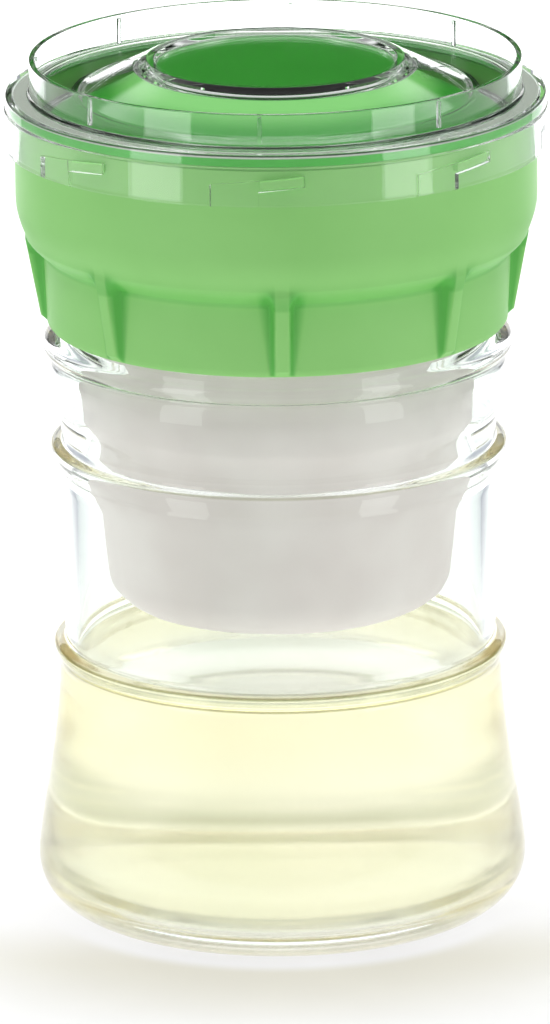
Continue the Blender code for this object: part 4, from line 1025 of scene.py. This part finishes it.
tree = DEEP.node_tree
spot = tree.nodes.new("ShaderNodeTexCoord")
level_flat = tree.nodes.new("ShaderNodeVectorMath")
level_flat.operation = "MULTIPLY"
level_flat.inputs[1].default_value = (1, 1, 0)
reach = tree.nodes.new("ShaderNodeVectorMath")
reach.operation = "LENGTH"
tree.links.new(spot.outputs["Object"], level_flat.inputs[0])
tree.links.new(level_flat.outputs[0], reach.inputs[0])
# Painted shade in the groove at the cone's rim.
in_groove = smooth_step(tree, reach.outputs["Value"], GROOVE_START, GROOVE_END, 0, 1)
shaded = tint(tree, tree.nodes["Color Ramp"].outputs["Color"], in_groove, GROOVE_SHADE)
from_axis = reach.outputs["Value"]
# Painted pale haze in a ring round the disc.
near_disc = patch(tree, (from_axis, DISC_EDGE, 0, 1), (from_axis, PALE_EDGE, 1, 0))
paler = tint(tree, shaded, near_disc, HAZE_GREEN, "MIX")
tree.links.new(paler, tree.nodes["Principled BSDF"].inputs["Base Color"])
cap = turned("cone_cap", [
    (5.7, 181.9), (25.9, 181.9), (25.9, 183.9), (27.2, 183.9), (49.7, 172.1), (52.7, 172.1), (52.7, 169.9),
    (48.6, 169.9), (29.5, 180.1), (7.1, 180.1), (7.1, 130.2), (3.9, 130.2), (3.9, 132.5), (5.7, 132.5),
], 128, 0.3)
place_piece(cap, DEEP, "press_head", "press_cap")
disc_low, disc_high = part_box("top_disc")
disc = turned("plain_disc", [
    (0, disc_high.z / MM), (25.6, disc_high.z / MM), (25.6, 182.2), (5.4, 182.2), (5.4, disc_low.z / MM),
    (0, disc_low.z / MM),
], 128, 0.35)
place_piece(disc, DEEP, "press_head", "top_disc")

# %% Springs
SPRING_LOW = 78.6
SPRING_HIGH = 179.8
CLOSED_GAP = 0.6
POINTS_PER_TURN = 32


def wound_spring(name, radius, wire, turns, hand):
    """One wire wound between the plate and the cap, with a closed turn at each end."""
    low = SPRING_LOW + wire / 2
    high = SPRING_HIGH - wire / 2
    closed = wire + CLOSED_GAP
    pitch = (high - low - 2 * closed) / (turns - 2)
    bpy.ops.object.select_all(action="DESELECT")
    curve = bpy.data.curves.new(name, "CURVE")
    curve.dimensions = "3D"
    spring = bpy.data.objects.new(name, curve)
    bpy.context.collection.objects.link(spring)
    spline = curve.splines.new("POLY")
    count = turns * POINTS_PER_TURN
    spline.points.add(count)
    for index in range(count + 1):
        turn = index / POINTS_PER_TURN
        if turn <= 1:
            height = low + closed * turn
        elif turn >= turns - 1:
            height = high - closed * (turns - turn)
        else:
            height = low + closed + pitch * (turn - 1)
        angle = hand * math.tau * turn
        x = radius * math.cos(angle) * MM
        y = radius * math.sin(angle) * MM
        spline.points[index].co = (x, y, height * MM, 1)
    curve.bevel_depth = wire / 2 * MM
    curve.bevel_resolution = 3
    curve.use_fill_caps = True
    spring.select_set(True)
    bpy.context.view_layer.objects.active = spring
    bpy.ops.object.convert(target="MESH")
    bpy.ops.object.shade_smooth_by_angle(angle=math.radians(50))
    return spring


for name, radius, wire, turns, hand in (
    ("firm_spring", 13.9, 1.8, 10, 1),
    ("soft_spring", 9.1, 1.2, 12, -1),
):
    spring = wound_spring(f"{name}_wire", radius, wire, turns, hand)
    place_piece(spring, WIRE, "press_head", name)
    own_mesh(spring)

# %% [markdown]
# The jar's gasket is hidden under the bowl. The cover's seal is vivid green on its side, which shows
# as the bright band below the cover's flange, and pale grey on top.

# %% Seals
SEAL_TOP = (178.8 * MM, 179.0 * MM)
PALE_TOP = screen_colour(190, 198, 186)

gasket = turned("jar_seal", [(43.1, 143.5), (46.3, 143.5), (46.3, 142.3), (43.1, 142.3)], 128, 0.3)
place_piece(gasket, SOFT, "gasket_ring", "jar_gasket")
tree = SEAL.node_tree
spot = tree.nodes.new("ShaderNodeTexCoord")
level = tree.nodes.new("ShaderNodeSeparateXYZ")
tree.links.new(spot.outputs["Object"], level.inputs[0])
on_top = smooth_step(tree, level.outputs["Z"], *SEAL_TOP, 0, 1)
paler_top = tint(tree, tree.nodes["Color Ramp"].outputs["Color"], on_top, PALE_TOP, "MIX")
tree.links.new(paler_top, tree.nodes["Principled BSDF"].inputs["Base Color"])
seal = turned("rim_seal", [(52.9, 179.15), (56.0, 179.15), (56.0, 176.9), (52.9, 176.9)], 128, 0.15)
place_piece(seal, SEAL, "press_head", "cover_seal")

# %% Hidden pieces keep their own solids
for node, material in (
    ("press_plate", NATURAL), ("press_stem", NATURAL), ("stop_washer", WIRE), ("stop_screw", WIRE),
):
    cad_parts[node].data.materials.clear()
    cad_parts[node].data.materials.append(material)

# %% [markdown]
# ## The clear cover
#
# The cover is a thin clear moulding. A ring stands up on it for stacking, its middle rises to a
# small hub over the disc, and its skirt reaches down over the bowl. Inside the skirt are eight
# stepped slots for the lugs. They are cut out of the spun cover with swept blocks.

# %% Outline of the cover
cover_low, cover_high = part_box("clear_cover")
RING_TOP = cover_high.z / MM
SKIRT = cover_high.x / MM
SKIRT_FOOT = cover_low.z / MM
SKIRT_INSIDE = 56.5

cover_outline = [
    (0, 185.9), (25.5, 185.9), (25.9, 187.1), (27.5, 187.1), (28.9, 186.5), (29.3, 186.2), (40.8, 180.75),
    (42.0, 180.3), (43.4, 180.2), (50.9, 180.2), (51.35, 180.6), (51.35, RING_TOP), (52.55, RING_TOP),
    (52.55, 180.7), (53.0, 180.0), (57.5, 179.9), (57.75, 179.65), (57.75, 177.4), (58.1, 177.2),
    (58.15, 176.9), (SKIRT, 169.2), (57.9, SKIRT_FOOT), (SKIRT_INSIDE, SKIRT_FOOT), (SKIRT_INSIDE, 177.5),
    (56.2, 179.35), (52.7, 179.35), (52.6, 178.5), (42.0, 178.5), (29.8, 184.3), (28.6, 184.5), (0, 184.5),
]
clear_lid = turned("clear_lid", cover_outline, 192, 0.16)

# %% Painted shade in the corners of the clear cover
COVER_EDGES = [(52.9, 180.3), (57.6, 179.75)]
COVER_LINE_WIDTH = 0.45
# Painted shade in dark rings at the cover's inner corners.
darken_rings(CLEAR, "cover_corners", COVER_EDGES, COVER_LINE_WIDTH, screen_colour(70, 84, 70))

# %% Slots in the skirt
SLOT_DEEP = 1.1
PLAY = 0.3
TWIST = 9.9
OVERLAP = 0.5
CUT_FROM = SKIRT_INSIDE - 0.35
CUT_TO = SKIRT_INSIDE + SLOT_DEEP
LEG_SPAN = LUG_SPAN + 2 * math.degrees(PLAY / SKIRT_INSIDE)


def cut_with(piece, tool):
    """Cut a swept block out of a piece and throw the block away."""
    cut = piece.modifiers.new(tool.name, "BOOLEAN")
    cut.operation = "DIFFERENCE"
    cut.solver = "EXACT"
    cut.object = tool
    bpy.ops.object.select_all(action="DESELECT")
    piece.select_set(True)
    bpy.context.view_layer.objects.active = piece
    bpy.ops.object.modifier_apply(modifier=cut.name)
    bpy.data.objects.remove(tool, do_unlink=True)


blocks = []
half_slot = LUG_TALL / 2 + PLAY
for index in range(RIB_COUNT):
    middle = FRONT + index * RIB_SPACING
    leg_start = middle - LEG_SPAN / 2 - OVERLAP
    low = LUG_LEVEL - half_slot - CLIMB / MM * math.radians(LEG_SPAN / 2 + OVERLAP)
    section = square_section(CUT_FROM, CUT_TO, low, low + 2 * half_slot)
    blocks.append(swept_block(f"leg_{index}", section, leg_start, LEG_SPAN + OVERLAP, 8, CLIMB))
cut_with(clear_lid, join_into(blocks[0], blocks[1:]))

blocks = []
for index in range(RIB_COUNT):
    middle = FRONT + index * RIB_SPACING
    entry_start = middle - TWIST - LEG_SPAN / 2 - OVERLAP / 2
    top = LUG_LEVEL + half_slot - CLIMB / MM * math.radians(TWIST + LEG_SPAN / 2 + OVERLAP / 2)
    section = square_section(CUT_FROM, CUT_TO, SKIRT_FOOT - 1, top)
    blocks.append(swept_block(f"entry_{index}", section, entry_start, LEG_SPAN + OVERLAP, 8, CLIMB))
cut_with(clear_lid, join_into(blocks[0], blocks[1:]))

# %% Marks on the stacking ring
TICK_HALF = 0.5
MARK_SECTION = square_section(50.95, 51.9, 181.0, RING_TOP - 0.7)
marks = []
for index in range(RIB_COUNT):
    corner_angle = FRONT + index * RIB_SPACING - LEG_SPAN / 2
    upright = swept_block(
        f"mark_{index}", MARK_SECTION, corner_angle - TICK_HALF, 2 * TICK_HALF, 2
    )
    soften(upright, 0.15, 2)
    marks.append(upright)
join_into(clear_lid, marks)
bpy.ops.object.shade_smooth_by_angle(angle=math.radians(35))
place_piece(clear_lid, CLEAR, "cover", "clear_cover")

# %% [markdown]
# ## Last settings
#
# Clear pieces in a bright studio hardly shade what is behind them. They are left out of shadow
# rays and of the light that bounces between matt surfaces, so the picture stays clean with few
# samples. The view transform is plain, so that white stays white.

# %% Ray settings and colour
BOUNCES = 24
TRANSPARENT_BOUNCES = 16

for clear_piece in (glass_jar, clear_lid, whey):
    clear_piece.visible_shadow = False
    clear_piece.visible_diffuse = False
scene = bpy.context.scene
scene.view_settings.view_transform = "Standard"
scene.cycles.max_bounces = BOUNCES
scene.cycles.transmission_bounces = BOUNCES
scene.cycles.glossy_bounces = BOUNCES
scene.cycles.transparent_max_bounces = TRANSPARENT_BOUNCES
